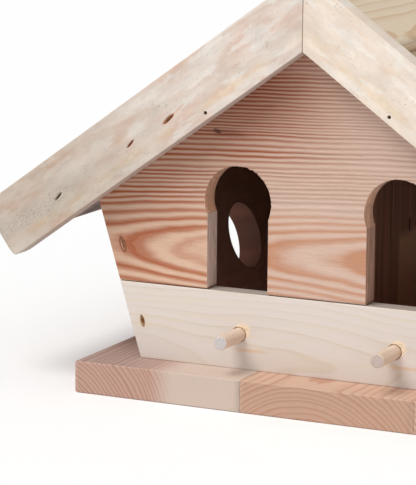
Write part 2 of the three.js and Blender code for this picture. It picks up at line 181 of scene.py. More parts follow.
class Plate:
    """A board: an outline with holes, between two parallel faces, with every edge rounded.
    The low face may have its own outline, of the same number of corners."""

    def __init__(self, ex, ey, en, origin, t0, t1):
        self.ex, self.ey, self.en, self.o = (np.array(v, float) for v in (ex, ey, en, origin))
        self.t0, self.t1 = t0, t1
        self.loops = []
        self.dents = {0: [], 1: []}
        self.holes_noise = None

    def loop(self, high, low=None, r=0.7, seg=4.0, tear=None):
        """r and seg may be lists, one for each edge. tear(u, v) widens the high face's rounding."""
        high = [tuple(p) for p in high]
        low = high if low is None else [tuple(p) for p in low]
        r = r if isinstance(r, (list, tuple)) else [r]
        seg = seg if isinstance(seg, (list, tuple)) else [seg]
        r_high = [x[0] if isinstance(x, tuple) else x for x in r]
        r_low = [x[1] if isinstance(x, tuple) else x for x in r]
        self.loops.append((high, low, r_high, r_low, seg, tear))
        return self

    def dent(self, face, at, angle, half_l, half_w, depth, lip=0.12, seed=0):
        self.dents[face].append((np.array(at, float), angle, half_l, half_w, depth, lip, seed))
        return self

    def build(self, name, grid=6.0, rows=8.0, steps=3, wob=0.0, seed=0):
        verts, faces = [], []
        caps = {0: [], 1: []}

        def push(p2, t):
            base = len(verts)
            for (u, v), tt in zip(p2, t):
                verts.append(self.o + u * self.ex + v * self.ey + tt * self.en)
            return list(range(base, base + len(p2)))

        for high, low, r_high, r_low, seg, tear in self.loops:
            hp, hr, bulge = resample(high, r_high, seg)
            lp = hp if low is high else None
            if lp is None:        # same counts of pieces on both outlines
                out = []
                n = len(high)
                for i in range(n):
                    a, b = np.array(high[i]), np.array(high[(i + 1) % n])
                    k = max(1, int(math.ceil(np.linalg.norm(b - a) / seg[i % len(seg)] - 1e-6)))
                    c, d = np.array(low[i], float), np.array(low[(i + 1) % n], float)
                    out += [c + (d - c) * j / k for j in range(k)]
                lp = np.array(out)
            _, lr, _ = resample(high, r_low, seg)
            n = len(hp)
            vr_h = np.maximum(hr, np.roll(hr, 1))
            vr_l = np.maximum(lr, np.roll(lr, 1))
            extra = np.zeros(n)
            if tear is not None:
                extra = np.array([tear(u, v) for u, v in hp])
            ring_rows = []
            k_side = max(1, int(round((self.t1 - self.t0) / rows)))
            for s in range(steps, -1, -1):            # low face rounding, from the face outwards
                th = math.pi / 2 * s / steps
                p = inset_points(lp, lr * (1 - math.cos(th)))
                ring_rows.append((p, self.t0 + vr_l * (1 - math.sin(th))))
            for j in range(1, k_side):
                f = j / k_side
                p = lp * (1 - f) + hp * f
                t = (self.t0 + vr_l) * (1 - f) + (self.t1 - vr_h - 0.9 * extra) * f
                ring_rows.append((p, t))
            for s in range(0, steps + 1):
                th = math.pi / 2 * s / steps
                p = inset_points(hp, (hr + np.minimum(extra, np.roll(extra, -1))) * (1 - math.cos(th)))
                ring_rows.append((p, self.t1 - (vr_h + 0.9 * extra) * (1 - math.sin(th))))
            ids = [push(p, t) for p, t in ring_rows]
            for a, b in zip(ids[:-1], ids[1:]):
                for i in range(n):
                    j = (i + 1) % n
                    faces.append((a[i], a[j], b[j], b[i]))
            caps[0].append((ring_rows[0][0], ids[0], bulge))
            caps[1].append((ring_rows[-1][0], ids[-1], bulge))
        for face in (0, 1):
            loops2 = [bowed(p, w) for p, _, w in caps[face]]
            pts = np.concatenate(loops2)
            idx = [i for _, ii, _ in caps[face] for i in ii]
            edges, at = [], 0
            for p in loops2:
                edges += [(at + i, at + (i + 1) % len(p)) for i in range(len(p))]
                at += len(p)
            lo, hi = loops2[0].min(0), loops2[0].max(0)
            rng = np.random.default_rng(seed * 7 + face + 11)
            gx = np.arange(lo[0] + grid / 2, hi[0], grid)
            gy = np.arange(lo[1] + grid / 2, hi[1], grid)
            g = np.array([(x, y) for x in gx for y in gy]).reshape(-1, 2)
            g = g + rng.uniform(-0.15, 0.15, g.shape) * grid
            keep = inside(loops2, g) & (seg_dist(loops2, g) > 0.45 * grid) if len(g) else np.zeros(0, bool)
            g = g[keep]
            dent_pts = []
            for at_, ang, hl, hw, depth, lip, sd in self.dents[face]:
                if len(g):
                    g = g[np.linalg.norm(g - at_, axis=1) > hl * 2.2]
                ca, sa = math.cos(ang), math.sin(ang)
                ring = [at_]
                for q, cnt in ((0.35, 10), (0.65, 16), (0.88, 24), (0.98, 24), (1.08, 24), (1.25, 24), (1.5, 22), (1.9, 18)):
                    for k in range(cnt):
                        th = 2 * math.pi * (k + 0.5 * (cnt % 4 == 2)) / cnt
                        grow = (q - 1) * 0.9 if q > 1 else 0
                        a_, b_ = (hl * min(q, 1) + grow) * math.cos(th), (hw * min(q, 1) + grow) * math.sin(th)
                        w = 1 + 0.16 * mnoise.noise(Vector((math.cos(th) * 2.3 + sd, math.sin(th) * 2.3, q)))
                        ring.append(at_ + w * np.array([ca * a_ - sa * b_, sa * a_ + ca * b_]))
                dent_pts += ring
            if dent_pts:
                g = np.concatenate([g, np.array(dent_pts)]) if len(g) else np.array(dent_pts)
                ok = inside(loops2, g) & (seg_dist(loops2, g) > 0.12)
                g = g[ok]
            allp = np.concatenate([pts, g]) if len(g) else pts
            res = delaunay_2d_cdt([Vector(p) for p in allp], edges, [], 0, 1e-6)
            out_v, out_f, orig = res[0], res[2], res[3]
            new_ids = []
            t_face = self.t0 if face == 0 else self.t1
            sgn = -1 if face == 0 else 1
            for k, v in enumerate(out_v):
                src = [i for i in orig[k]]
                if src and src[0] < len(pts):
                    new_ids.append(idx[src[0]])
                    continue
                p = np.array([v[0], v[1]])
                t = t_face
                for at_, ang, hl, hw, depth, lip, sd in self.dents[face]:
                    d = p - at_
                    if abs(d[0]) > hl * 3 or abs(d[1]) > hl * 3:
                        continue
                    ca, sa = math.cos(ang), math.sin(ang)
                    a_, b_ = ca * d[0] + sa * d[1], -sa * d[0] + ca * d[1]
                    q = math.hypot(a_ / hl, b_ / hw)
                    x = min(1, max(0, (1.09 - q) / 0.18))
                    x = x * x * (3 - 2 * x)
                    edge = math.exp(-((q - 1.25) / 0.25) ** 2)
                    t -= sgn * depth * x
                    t += sgn * lip * edge * (0.4 + 1.2 * abs(mnoise.noise(Vector((a_ * 1.3 + sd, b_ * 1.3, 4.0)))))
                if wob:
                    t += sgn * wob * mnoise.noise(Vector((p[0] * 0.02 + seed, p[1] * 0.05, 1.3)))
                new_ids.append(len(verts))
                verts.append(self.o + p[0] * self.ex + p[1] * self.ey + t * self.en)
            cen = np.array([np.mean([[out_v[i][0], out_v[i][1]] for i in f], 0) for f in out_f])
            good = inside(loops2, cen)
            for f, ok in zip(out_f, good):
                if ok:
                    tri = [new_ids[i] for i in f]
                    if len(set(tri)) == 3:
                        a, b, c = (np.array([out_v[i][0], out_v[i][1]]) for i in f)
                        ccw = (b - a)[0] * (c - a)[1] - (b - a)[1] * (c - a)[0] > 0
                        faces.append(tuple(tri) if ccw == (face == 1) else tuple(reversed(tri)))
        return make(name, verts, faces)


def make(name, verts_mm, faces, smooth=True, weighted=True):
    me = bpy.data.meshes.new(name)
    me.from_pydata([tuple(np.asarray(v, float) / 1000.0) for v in verts_mm], [], faces)
    bm = bmesh.new()
    bm.from_mesh(me)
    bmesh.ops.dissolve_degenerate(bm, dist=1e-7, edges=bm.edges)
    bmesh.ops.recalc_face_normals(bm, faces=bm.faces)
    bm.to_mesh(me)
    bm.free()
    me.update()
    if smooth:
        me.polygons.foreach_set("use_smooth", [True] * len(me.polygons))
    o = bpy.data.objects.new(name, me)
    scene.collection.objects.link(o)
    if weighted:
        w = o.modifiers.new("weighted", "WEIGHTED_NORMAL")
        w.weight = 60
        w.keep_sharp = False
    return o


def finish_piece(o, node, mat):
    o.data.materials.clear()
    o.data.materials.append(mat)
    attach(o, "root")
    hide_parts(node)
    return o


# --------------------------------------------------------------- material kit
class Mat:
    def __init__(self, name):
        self.m = bpy.data.materials.new(name)
        self.m.use_nodes = True
        self.t = self.m.node_tree
        self.t.nodes.clear()
        self.out = self.t.nodes.new("ShaderNodeOutputMaterial")
        self.bsdf = self.t.nodes.new("ShaderNodeBsdfPrincipled")
        self.t.links.new(self.bsdf.outputs[0], self.out.inputs[0])
        tc = self.t.nodes.new("ShaderNodeTexCoord")
        sc = self.t.nodes.new("ShaderNodeVectorMath")
        sc.operation = "SCALE"
        sc.inputs[3].default_value = 1000.0
        self.t.links.new(tc.outputs["Object"], sc.inputs[0])
        self.P = sc.outputs[0]                     # millimetres, in the part's frame
        self.N = tc.outputs["Normal"]

    def put(self, sock, v):
        if isinstance(v, bpy.types.NodeSocket):
            self.t.links.new(v, sock)
        elif isinstance(v, (tuple, list)) and len(v) == 3 and sock.type == "RGBA":
            sock.default_value = (*v, 1.0)
        else:
            sock.default_value = v

    def f(self, op, a, b=None, c=None, clamp=False):
        n = self.t.nodes.new("ShaderNodeMath")
        n.operation = op
        n.use_clamp = clamp
        for s, v in zip(n.inputs, (a, b, c)):
            if v is not None:
                self.put(s, v)
        return n.outputs[0]

    def v(self, op, a, b=None, scale=None):
        n = self.t.nodes.new("ShaderNodeVectorMath")
        n.operation = op
        self.put(n.inputs[0], a)
        if b is not None:
            self.put(n.inputs[1], b)
        if scale is not None:
            self.put(n.inputs[3], scale)
        return n.outputs["Value"] if op in ("DOT_PRODUCT", "LENGTH", "DISTANCE") else n.outputs[0]

    def xyz(self, x, y, z):
        n = self.t.nodes.new("ShaderNodeCombineXYZ")
        for s, v in zip(n.inputs, (x, y, z)):
            self.put(s, v)
        return n.outputs[0]

    def split(self, v):
        n = self.t.nodes.new("ShaderNodeSeparateXYZ")
        self.put(n.inputs[0], v)
        return n.outputs

    def noise(self, vec, scale=1.0, detail=2.0, rough=0.5, dist=0.0, color=False):
        n = self.t.nodes.new("ShaderNodeTexNoise")
        self.put(n.inputs["Vector"], vec)
        n.inputs["Scale"].default_value = scale
        n.inputs["Detail"].default_value = detail
        n.inputs["Roughness"].default_value = rough
        n.inputs["Distortion"].default_value = dist
        return n.outputs["Color"] if color else n.outputs[0]

    def white(self, w):
        n = self.t.nodes.new("ShaderNodeTexWhiteNoise")
        n.noise_dimensions = "1D"
        self.put(n.inputs["W"], w)
        return n.outputs["Value"]

    def ramp(self, fac, stops, interp="LINEAR"):
        n = self.t.nodes.new("ShaderNodeValToRGB")
        n.color_ramp.interpolation = interp
        el = n.color_ramp.elements
        while len(el) > 1:
            el.remove(el[-1])
        for i, (pos, val) in enumerate(stops):
            e = el[0] if i == 0 else el.new(pos)
            e.position = pos
            e.color = (*val, 1.0) if isinstance(val, (tuple, list)) else (val, val, val, 1.0)
        self.put(n.inputs[0], fac)
        return n.outputs[0]

    def step(self, x, a, b):
        """Smooth 0 to 1 as x goes from a to b."""
        n = self.t.nodes.new("ShaderNodeMapRange")
        n.interpolation_type = "SMOOTHSTEP"
        self.put(n.inputs[0], x)
        if a <= b:
            n.inputs[1].default_value, n.inputs[2].default_value = a, b
            n.inputs[3].default_value, n.inputs[4].default_value = 0.0, 1.0
        else:
            n.inputs[1].default_value, n.inputs[2].default_value = b, a
            n.inputs[3].default_value, n.inputs[4].default_value = 1.0, 0.0
        return n.outputs[0]

    def lin(self, x, a, b, c, d):
        n = self.t.nodes.new("ShaderNodeMapRange")
        self.put(n.inputs[0], x)
        for i, v in enumerate((a, b, c, d)):
            n.inputs[i + 1].default_value = v
        return n.outputs[0]

    def mix(self, fac, a, b, blend="MIX"):
        n = self.t.nodes.new("ShaderNodeMix")
        n.data_type = "RGBA"
        n.blend_type = blend
        n.clamp_factor = True
        self.put(n.inputs[0], fac)
        self.put(n.inputs[6], a)
        self.put(n.inputs[7], b)
        return n.outputs[2]

    def curve(self, x, pts):
        n = self.t.nodes.new("ShaderNodeFloatCurve")
        cm = n.mapping
        cm.use_clip = False
        cv = cm.curves[0]
        for i, (px, py) in enumerate(pts):
            if i < 2:
                cv.points[i].location = (px, py)
                p = cv.points[i]
            else:
                p = cv.points.new(px, py)
            p.handle_type = "VECTOR"
        cm.update()
        self.put(n.inputs[1], x)
        return n.outputs[0]

    def spot(self, at, axis, a, b, n_axis, depth=4.0, rag=0.3, edge=(1.1, 0.75), scale=1.2):
        """1 inside an ellipse on a face: at its centre, a along axis, b across it."""
        ax = Vector(axis).normalized()
        nn = Vector(n_axis).normalized()
        bx = nn.cross(ax)
        q = self.v("SUBTRACT", self.P, tuple(at))
        x = self.f("DIVIDE", self.v("DOT_PRODUCT", q, tuple(ax)), a)
        y = self.f("DIVIDE", self.v("DOT_PRODUCT", q, tuple(bx)), b)
        z = self.f("DIVIDE", self.v("DOT_PRODUCT", q, tuple(nn)), depth)
        d = self.v("LENGTH", self.xyz(x, y, z))
        if rag:
            wob = self.noise(self.P, scale, 2.0)
            d = self.f("ADD", d, self.f("MULTIPLY", self.f("SUBTRACT", wob, 0.5), rag * 2))
        return self.step(d, edge[0], edge[1])


def srgb(r, g, b):
    return tuple((c / 255 / 12.92) if c <= 10.3 else ((c / 255 + 0.055) / 1.055) ** 2.4 for c in (r, g, b))


def wood(name, grain, across, pith, width, early, late, contrast=0.6, seed=0.0, warp=3.0, bend=None,
         radii=None, end=0.8, fibre=0.10, speck=0.35, blotch=None, blotch_scale=0.02, rough=0.62,
         bump=0.22, late_at=0.72, extra=None, warp_scale=(0.010, 0.03), fade=None, end_tint=(0.85, 0.80, 0.78),
         saw=0.0, wav=0.5, core=None):
    """Solid wood: growth rings round a pith line, so side, edge and end grain belong together.
    grain: direction of the fibres; across: direction from which depth is counted; pith: a point on the pith line."""
    M = Mat(name)
    a = Vector(grain).normalized()
    c = Vector(across)
    c = (c - a * c.dot(a)).normalized()
    b = c.cross(a)
    q = M.v("SUBTRACT", M.P, tuple(pith))
    x = M.v("DOT_PRODUCT", q, tuple(a))
    y = M.v("DOT_PRODUCT", q, tuple(b))
    z = M.v("DOT_PRODUCT", q, tuple(c))
    if bend:
        y, z = bend(M, x, y, z)
    low = M.noise(M.xyz(M.f("MULTIPLY_ADD", x, warp_scale[0], seed), M.f("MULTIPLY", y, warp_scale[1]),
                        M.f("MULTIPLY", z, warp_scale[1])), 1.0, 1.5, color=True)
    lx = M.split(low)
    y = M.f("ADD", y, M.f("MULTIPLY", M.f("SUBTRACT", lx[0], 0.5), warp * 2))
    z = M.f("ADD", z, M.f("MULTIPLY", M.f("SUBTRACT", lx[1], 0.5), warp * 2))
    hi = M.noise(M.xyz(M.f("MULTIPLY_ADD", x, 0.055, seed + 3.1), M.f("MULTIPLY", y, 0.22), M.f("MULTIPLY", z, 0.22)), 1.0, 2.0)
    r = M.v("LENGTH", M.xyz(0.0, y, z))
    r = M.f("ADD", r, M.f("MULTIPLY", M.f("SUBTRACT", hi, 0.5), wav))
    if radii:
        lo_r, hi_r, count = radii[0], radii[-1], len(radii) - 1
        pts = [((rr - lo_r) / (hi_r - lo_r), i / count) for i, rr in enumerate(radii)]
        phase = M.f("MULTIPLY", M.curve(M.f("DIVIDE", M.f("SUBTRACT", r, lo_r), hi_r - lo_r), pts), float(count))
    else:
        slow = M.noise(M.xyz(M.f("MULTIPLY_ADD", r, 0.11, seed), seed, 0.0), 1.0, 1.0)
        phase = M.f("ADD", M.f("DIVIDE", r, width), M.f("MULTIPLY", M.f("SUBTRACT", slow, 0.5), 2.2))
    phase = M.f("ADD", phase, 40.0)
    idx = M.f("FLOOR", phase)
    fr = M.f("FRACT", phase)
    rnd = M.white(M.f("ADD", idx, seed))
    # early wood, slowly darker, then the hard edge of the late wood
    if radii:
        late_m = M.ramp(fr, [(0.0, 1.0), (0.12, 0.92), (0.24, 0.50), (0.34, 0.14), (0.48, 0.0), (0.62, 0.08), (0.74, 0.45), (0.86, 0.92), (1.0, 1.0)])
    else:
        late_m = M.ramp(fr, [(0.0, 0.05), (0.35, 0.0), (late_at, 0.35), (late_at + 0.14, 1.0), (0.95, 0.9), (1.0, 0.05)])
    late_m = M.f("MULTIPLY", late_m, M.lin(rnd, 0, 1, 0.55, 1.0))
    if core:
        late_m = core(M, x, r, late_m)
    late_m = M.f("MULTIPLY", late_m, contrast)
    if fade:
        late_m = M.f("MULTIPLY", late_m, fade(M))
    col = M.mix(late_m, early, late(M) if callable(late) else late)
    if blotch:
        n = M.noise(M.xyz(M.f("MULTIPLY_ADD", x, blotch_scale * 0.35, seed), M.f("MULTIPLY", y, blotch_scale * 1.6), M.f("MULTIPLY", z, blotch_scale * 1.6)), 1.0, 3.0, 0.55)
        col = M.mix(M.step(n, 0.44, 0.66), col, M.mix(0.75, col, blotch, "MULTIPLY"))
    # fibres along the grain
    fv = M.xyz(M.f("MULTIPLY_ADD", x, 0.06, seed), M.f("MULTIPLY", y, 1.5), M.f("MULTIPLY", z, 1.5))
    fib = M.noise(fv, 1.0, 4.0, 0.62)
    val = M.lin(fib, 0.25, 0.75, 1.0 - fibre, 1.0 + fibre)
    col = M.mix(1.0, col, M.xyz(val, val, val), "MULTIPLY")
    if speck:
        sv = M.xyz(M.f("MULTIPLY_ADD", x, 0.22, seed + 9), M.f("MULTIPLY", y, 1.9), M.f("MULTIPLY", z, 1.9))
        sp = M.step(M.noise(sv, 1.0, 2.0, 0.5), 0.68, 0.80)
        col = M.mix(M.f("MULTIPLY", sp, speck), col, M.mix(1.0, col, (0.52, 0.42, 0.36), "MULTIPLY"))
    # end grain is darker and speckled with cut fibres
    along = M.f("ABSOLUTE", M.v("DOT_PRODUCT", M.N, tuple(a)))
    e = M.step(along, 0.75, 0.95)
    dots = M.noise(M.xyz(M.f("MULTIPLY", x, 0.3), M.f("MULTIPLY", y, 3.2), M.f("MULTIPLY", z, 3.2)), 1.0, 2.0, 0.6)
    tint = M.mix(M.step(dots, 0.40, 0.62), tuple(end * v for v in end_tint), tuple(min(1.0, end * 1.12 * v) for v in end_tint))
    col = M.mix(e, col, M.mix(1.0, col, tint, "MULTIPLY"))
    height = M.f("ADD", M.f("MULTIPLY", late_m, 0.35), M.f("MULTIPLY", fib, 0.9))
    if saw:
        stripes = M.noise(M.xyz(M.f("MULTIPLY", x, 0.5), M.f("MULTIPLY", y, 0.05), M.f("MULTIPLY", z, 1.4)), 1.0, 2.0, 0.6)
        height = M.f("ADD", height, M.f("MULTIPLY", M.f("MULTIPLY", stripes, e), saw))
        sval = M.lin(stripes, 0.3, 0.7, 0.86, 1.10)
        col = M.mix(e, col, M.mix(1.0, col, M.xyz(sval, sval, sval), "MULTIPLY"))
    if extra:
        col, height = extra(M, col, height)
    bn = M.t.nodes.new("ShaderNodeBump")
    bn.inputs["Strength"].default_value = bump
    bn.inputs["Distance"].default_value = 0.0004
    M.t.links.new(height, bn.inputs["Height"])
    M.t.links.new(bn.outputs[0], M.bsdf.inputs["Normal"])
    M.put(M.bsdf.inputs["Base Color"], col)
    M.bsdf.inputs["Specular IOR Level"].default_value = 0.28
    M.put(M.bsdf.inputs["Roughness"], M.lin(fib, 0.3, 0.7, rough - 0.05, rough + 0.07))
    return M.m


X, Y, Z = Vector((1, 0, 0)), Vector((0, 1, 0)), Vector((0, 0, 1))

# colours
LARCH_E, LARCH_L = srgb(211, 182, 165), srgb(160, 80, 36)
PINE_E, PINE_L = srgb(222, 211, 203), srgb(207, 191, 167)

RINGS = [19.0, 22.2, 25.2, 28.0, 30.5, 32.6, 35.1, 37.6, 40.6, 42.6, 44.3, 46.7, 48.4, 50.0, 52.0, 53.7, 55.8,
         58.7, 61.3, 63.8, 66.5, 69.3, 71.6, 73.5, 75.0, 76.4, 78.3, 80.0, 81.3, 83.0, 85.0, 87.1, 89.0, 91.3,
         93.1, 95.4, 97.2, 99.5, 101.6, 103.5, 105.8]

# growth rings of the gable panel: the pith line runs just in front of the board,
# nearer to it on the right, so that the rings show as long tongues pointing left
PITH_Z = DECK + 65.86


def front_bend(M, x, y, z):
    # x: along the board; y: up; z: forwards out of the front face, from its plane
    up = M.f("SUBTRACT", y, M.f("ADD", M.f("MULTIPLY", x, 0.0153), M.f("MULTIPLY", M.f("MULTIPLY", x, x), -0.376e-4)))
    d = M.f("MULTIPLY_ADD", x, -0.055, 26.47)
    depth = M.f("SUBTRACT", d, z)
    return up, depth


def top_left(M):
    px = M.split(M.P)
    return M.f("MULTIPLY", M.step(px[2], 128.0, 172.0), M.step(px[0], 48.0, -32.0))


def front_fade(M):
    px = M.split(M.P)
    left = M.step(px[0], 5.0, -90.0)
    top = M.f("MULTIPLY", M.step(px[2], 116.0, 146.0), M.step(px[0], 50.0, -45.0))
    low = M.f("SUBTRACT", 1.0, M.f("MULTIPLY", M.step(px[2], 122.0, 104.0), 0.04))
    return M.f("MULTIPLY", M.f("ADD", 0.62, M.f("MULTIPLY", M.f("MAXIMUM", left, M.f("MULTIPLY", top, 1.2)), 0.58)), low)


def front_late(M):
    # late wood: clear orange low in the middle, greyer above it, browner to the left and the top
    px = M.split(M.P)
    left = M.step(px[0], -10.0, -90.0)
    top = M.f("MULTIPLY", M.step(px[2], 116.0, 146.0), M.step(px[0], 50.0, -45.0))
    mid = M.mix(M.step(px[2], 112.0, 104.0), srgb(160, 122, 105), srgb(180, 100, 28))
    return M.mix(M.f("MAXIMUM", left, top), mid, LARCH_L)


def front_core(M, x, r, late):
    # pale heart wood beside the left doorway, a filled orange tongue between the doorways
    pale = M.f("MULTIPLY", M.step(x, -36.0, -48.0), M.step(r, 31.2, 30.2))
    late = M.f("MULTIPLY", late, M.f("SUBTRACT", 1.0, M.f("MULTIPLY", pale, 0.9)))
    full = M.f("MULTIPLY", M.f("MULTIPLY", M.step(x, 56.0, 44.0), M.step(x, 8.0, 12.0)), M.step(r, 26.2, 25.4))
    return M.f("MAXIMUM", late, M.f("MULTIPLY", full, 1.0))


def front_extra(M, col, height):
    px = M.split(M.P)
    # the jambs: sawn across the fibres, grey-brown, with upright saw marks
    side = M.step(M.f("ABSOLUTE", M.split(M.N)[0]), 0.5, 0.9)
    marks = M.noise(M.xyz(M.f("MULTIPLY", px[0], 0.1), M.f("MULTIPLY", px[1], 1.1), M.f("MULTIPLY", px[2], 0.07)), 1.0, 3.0, 0.65)
    mv = M.lin(marks, 0.3, 0.7, 0.62, 1.34)
    pits = M.step(M.noise(M.xyz(M.f("MULTIPLY", px[0], 0.6), M.f("MULTIPLY", px[1], 0.9), M.f("MULTIPLY", px[2], 0.7)), 1.0, 3.0, 0.6), 0.54, 0.66)
    arch = M.step(px[2], DECK + DOOR_Z - 8.7, DECK + DOOR_Z - 7.3)
    sawn = M.mix(arch, M.mix(M.step(px[0], -10.0, 10.0), srgb(226, 204, 198), srgb(198, 158, 138)), srgb(242, 192, 160))
    col = M.mix(side, col, M.mix(1.0, M.mix(0.78, col, sawn), M.xyz(mv, mv, mv), "MULTIPLY"))
    col = M.mix(M.f("MULTIPLY", M.f("MULTIPLY", side, arch), M.f("MULTIPLY", pits, 0.5)), col, srgb(110, 74, 54))
    # darker, redder towards the upper left: partly the wood's own colour, partly painted shade from the left bargeboard
    col = M.mix(M.f("MULTIPLY", top_left(M), 0.86), col, M.mix(1.0, col, (0.60, 0.44, 0.38), "MULTIPLY"))
    # painted shade under the eave on the left, strongest next to the left bargeboard
    under = M.v("DOT_PRODUCT", M.v("SUBTRACT", M.P, (0, 0, DECK + APEX_Z)), (-SIN, 0, COS))
    eave = M.f("MULTIPLY", M.step(under, -60.0, -5.0), M.step(px[0], 10.0, -50.0))
    col = M.mix(eave, col, M.mix(1.0, col, (0.82, 0.77, 0.74), "MULTIPLY"))
    # orange bands low on the left
    warm = M.f("MULTIPLY", M.step(px[0], -15.0, -80.0), M.step(px[2], 128.0, 84.0))
    col = M.mix(M.f("MULTIPLY", warm, 0.8), col, M.mix(1.0, col, (1.08, 1.01, 0.89), "MULTIPLY"))
    clear = M.f("MULTIPLY", M.f("MULTIPLY", M.step(px[2], 104.0, 112.0), M.step(px[2], 150.0, 136.0)), M.step(px[0], -45.0, -20.0))
    col = M.mix(clear, col, M.mix(1.0, col, (1.03, 1.06, 1.08), "MULTIPLY"))
    height = M.f("ADD", height, M.f("MULTIPLY", M.f("MULTIPLY", marks, side), 2.0))
    # small dark knot, with the fibres round it
    knot = M.spot((-55.5, FRONT, DECK + 132.1), (1, 0, -0.25), 2.7, 1.3, (0, -1, 0), 8.0, 0.45, (1.25, 0.5))
    halo = M.spot((-48.0, FRONT, DECK + 131.2), (1, 0, -0.05), 15.0, 2.6, (0, -1, 0), 8.0, 0.5, (1.3, 0.2))
    col = M.mix(M.f("MULTIPLY", halo, 0.7), col, M.mix(1.0, col, (0.66, 0.50, 0.44), "MULTIPLY"))
    col = M.mix(M.f("MULTIPLY", knot, 0.95), col, srgb(84, 46, 38))
    # bruised wood round the staple
    bruise = M.spot((-113.8, FRONT, DECK + 63.9), (-TAPER, 0, 1), 4.4, 1.9, (0, -1, 0), 5.0, 0.3, (1.15, 0.95))
    core = M.spot((-113.8, FRONT, DECK + 63.9), (-TAPER, 0, 1), 3.3, 1.15, (0, -1, 0), 5.0, 0.2, (1.1, 0.9))
    ring = M.f("MULTIPLY", bruise, M.f("SUBTRACT", 1.0, core))
    col = M.mix(M.f("MULTIPLY", ring, 0.75), col, srgb(112, 62, 34))
    col = M.mix(M.f("MULTIPLY", core, 0.6), col, srgb(206, 150, 112))
    return col, height


def rear_bend(M, x, y, z):
    up = M.f("SUBTRACT", y, M.f("MULTIPLY", x, 0.02))
    d = M.f("MULTIPLY_ADD", x, 0.04, 33.0)
    return up, M.f("SUBTRACT", d, z)


m_front_panel = wood("larch_front", X, -Y, (0, FRONT, PITH_Z), 2.2, LARCH_E, front_late, contrast=0.98, warp=0.9,
                     bend=front_bend, radii=RINGS, fade=front_fade, extra=front_extra, fibre=0.10, speck=0.6,
                     blotch=(0.93, 0.88, 0.84), warp_scale=(0.02, 0.05), wav=0.7, end=0.86, core=front_core)
m_rear_panel = wood("larch_rear", X, Y, (0, REAR, DECK + 84.0), 2.4, LARCH_E, LARCH_L, contrast=0.85, warp=2.5,
                    bend=rear_bend, seed=5.3, fibre=0.08, speck=0.45, blotch=(0.93, 0.88, 0.84))


def sill_extra(M, col, height):
    px = M.split(M.P)
    # the fibres are torn up and paler where the perches leave the board
    for x in PERCHES:
        torn = M.spot((x + 2.2, FRONT, DECK + PERCH_Z + 2.0), (1, 0, 0.2), 5.2, 4.8, (0, -1, 0), 5.0, 0.55, (1.15, 0.7), 0.9)
        col = M.mix(M.f("MULTIPLY", torn, 0.85), col, srgb(250, 226, 194))
        fl = M.step(M.noise(M.P, 1.6, 2.0, 0.5), 0.56, 0.64)
        col = M.mix(M.f("MULTIPLY", M.f("MULTIPLY", torn, fl), 0.55), col, srgb(186, 132, 88))
        streak = M.spot((x + 7.5, FRONT, DECK + PERCH_Z - 8.3), (1, 0, 0.0), 12.0, 1.2, (0, -1, 0), 5.0, 0.5, (1.3, 0.3))
        col = M.mix(M.f("MULTIPLY", streak, 0.55), col, srgb(222, 182, 140))
    # resin and glue run below the pin
    drop = M.spot((-101.3, FRONT, DECK + 21.2), (-0.25, 0, 1), 3.5, 1.5, (0, -1, 0), 6.0, 0.2)
    col = M.mix(M.f("MULTIPLY", drop, 0.95), col, srgb(150, 96, 44))
    drip = M.spot((-100.8, FRONT, DECK + 19.4), (-0.2, 0, 1), 1.7, 1.1, (0, -1, 0), 6.0, 0.2)
    col = M.mix(M.f("MULTIPLY", drip, 0.8), col, srgb(98, 52, 24))
    head = M.spot((-102.0, FRONT, DECK + 23.9), (-0.2, 0, 1), 1.2, 0.9, (0, -1, 0), 6.0, 0.2)
    col = M.mix(M.f("MULTIPLY", head, 0.85), col, srgb(88, 74, 44))
    glow = M.spot((-101.3, FRONT, DECK + 21.4), (-0.1, 0, 1), 6.5, 3.8, (0, -1, 0), 4.0, 0.3, (1.3, 0.3))
    col = M.mix(M.f("MULTIPLY", glow, 0.25), col, srgb(226, 196, 150))
    # the planed top face, greyer and darker: painted shade where it lies inside the doorways
    up = M.step(M.split(M.N)[2], 0.75, 0.95)
    col = M.mix(M.f("MULTIPLY", up, 0.8), col, srgb(160, 146, 136))
    yellow = M.step(M.noise(M.xyz(M.f("MULTIPLY", px[0], 0.018), px[1], M.f("MULTIPLY", px[2], 0.32)), 1.0, 2.0, 0.5), 0.52, 0.72)
    col = M.mix(M.f("MULTIPLY", yellow, 0.28), col, srgb(224, 208, 176))
    return col, height


def sill_bend(M, x, y, z):
    return M.f("ADD", y, M.f("MULTIPLY", M.f("MULTIPLY", x, x), 0.0004)), M.f("MULTIPLY_ADD", x, 0.05, M.f("ADD", z, 44.0))


m_front_sill = wood("pine_front", X, -Y, (20, FRONT, DECK + 6.0), 2.7, PINE_E, PINE_L, contrast=0.62, warp=3.0, seed=2.0, late_at=0.80,
                    bend=sill_bend, fibre=0.03, speck=0.12, extra=sill_extra, bump=0.12, warp_scale=(0.012, 0.035), wav=0.4)
m_rear_sill = wood("pine_rear", X, Y, (-30, REAR + 46, DECK + 30.0), 3.8, PINE_E, PINE_L, contrast=0.75, warp=5.0, seed=6.0,
                   fibre=0.03, speck=0.12, bump=0.12)


def slope_dir(side):
    return Vector((side * COS, 0, -SIN))


def slope_up(side):
    return Vector((side * SIN, 0, COS))


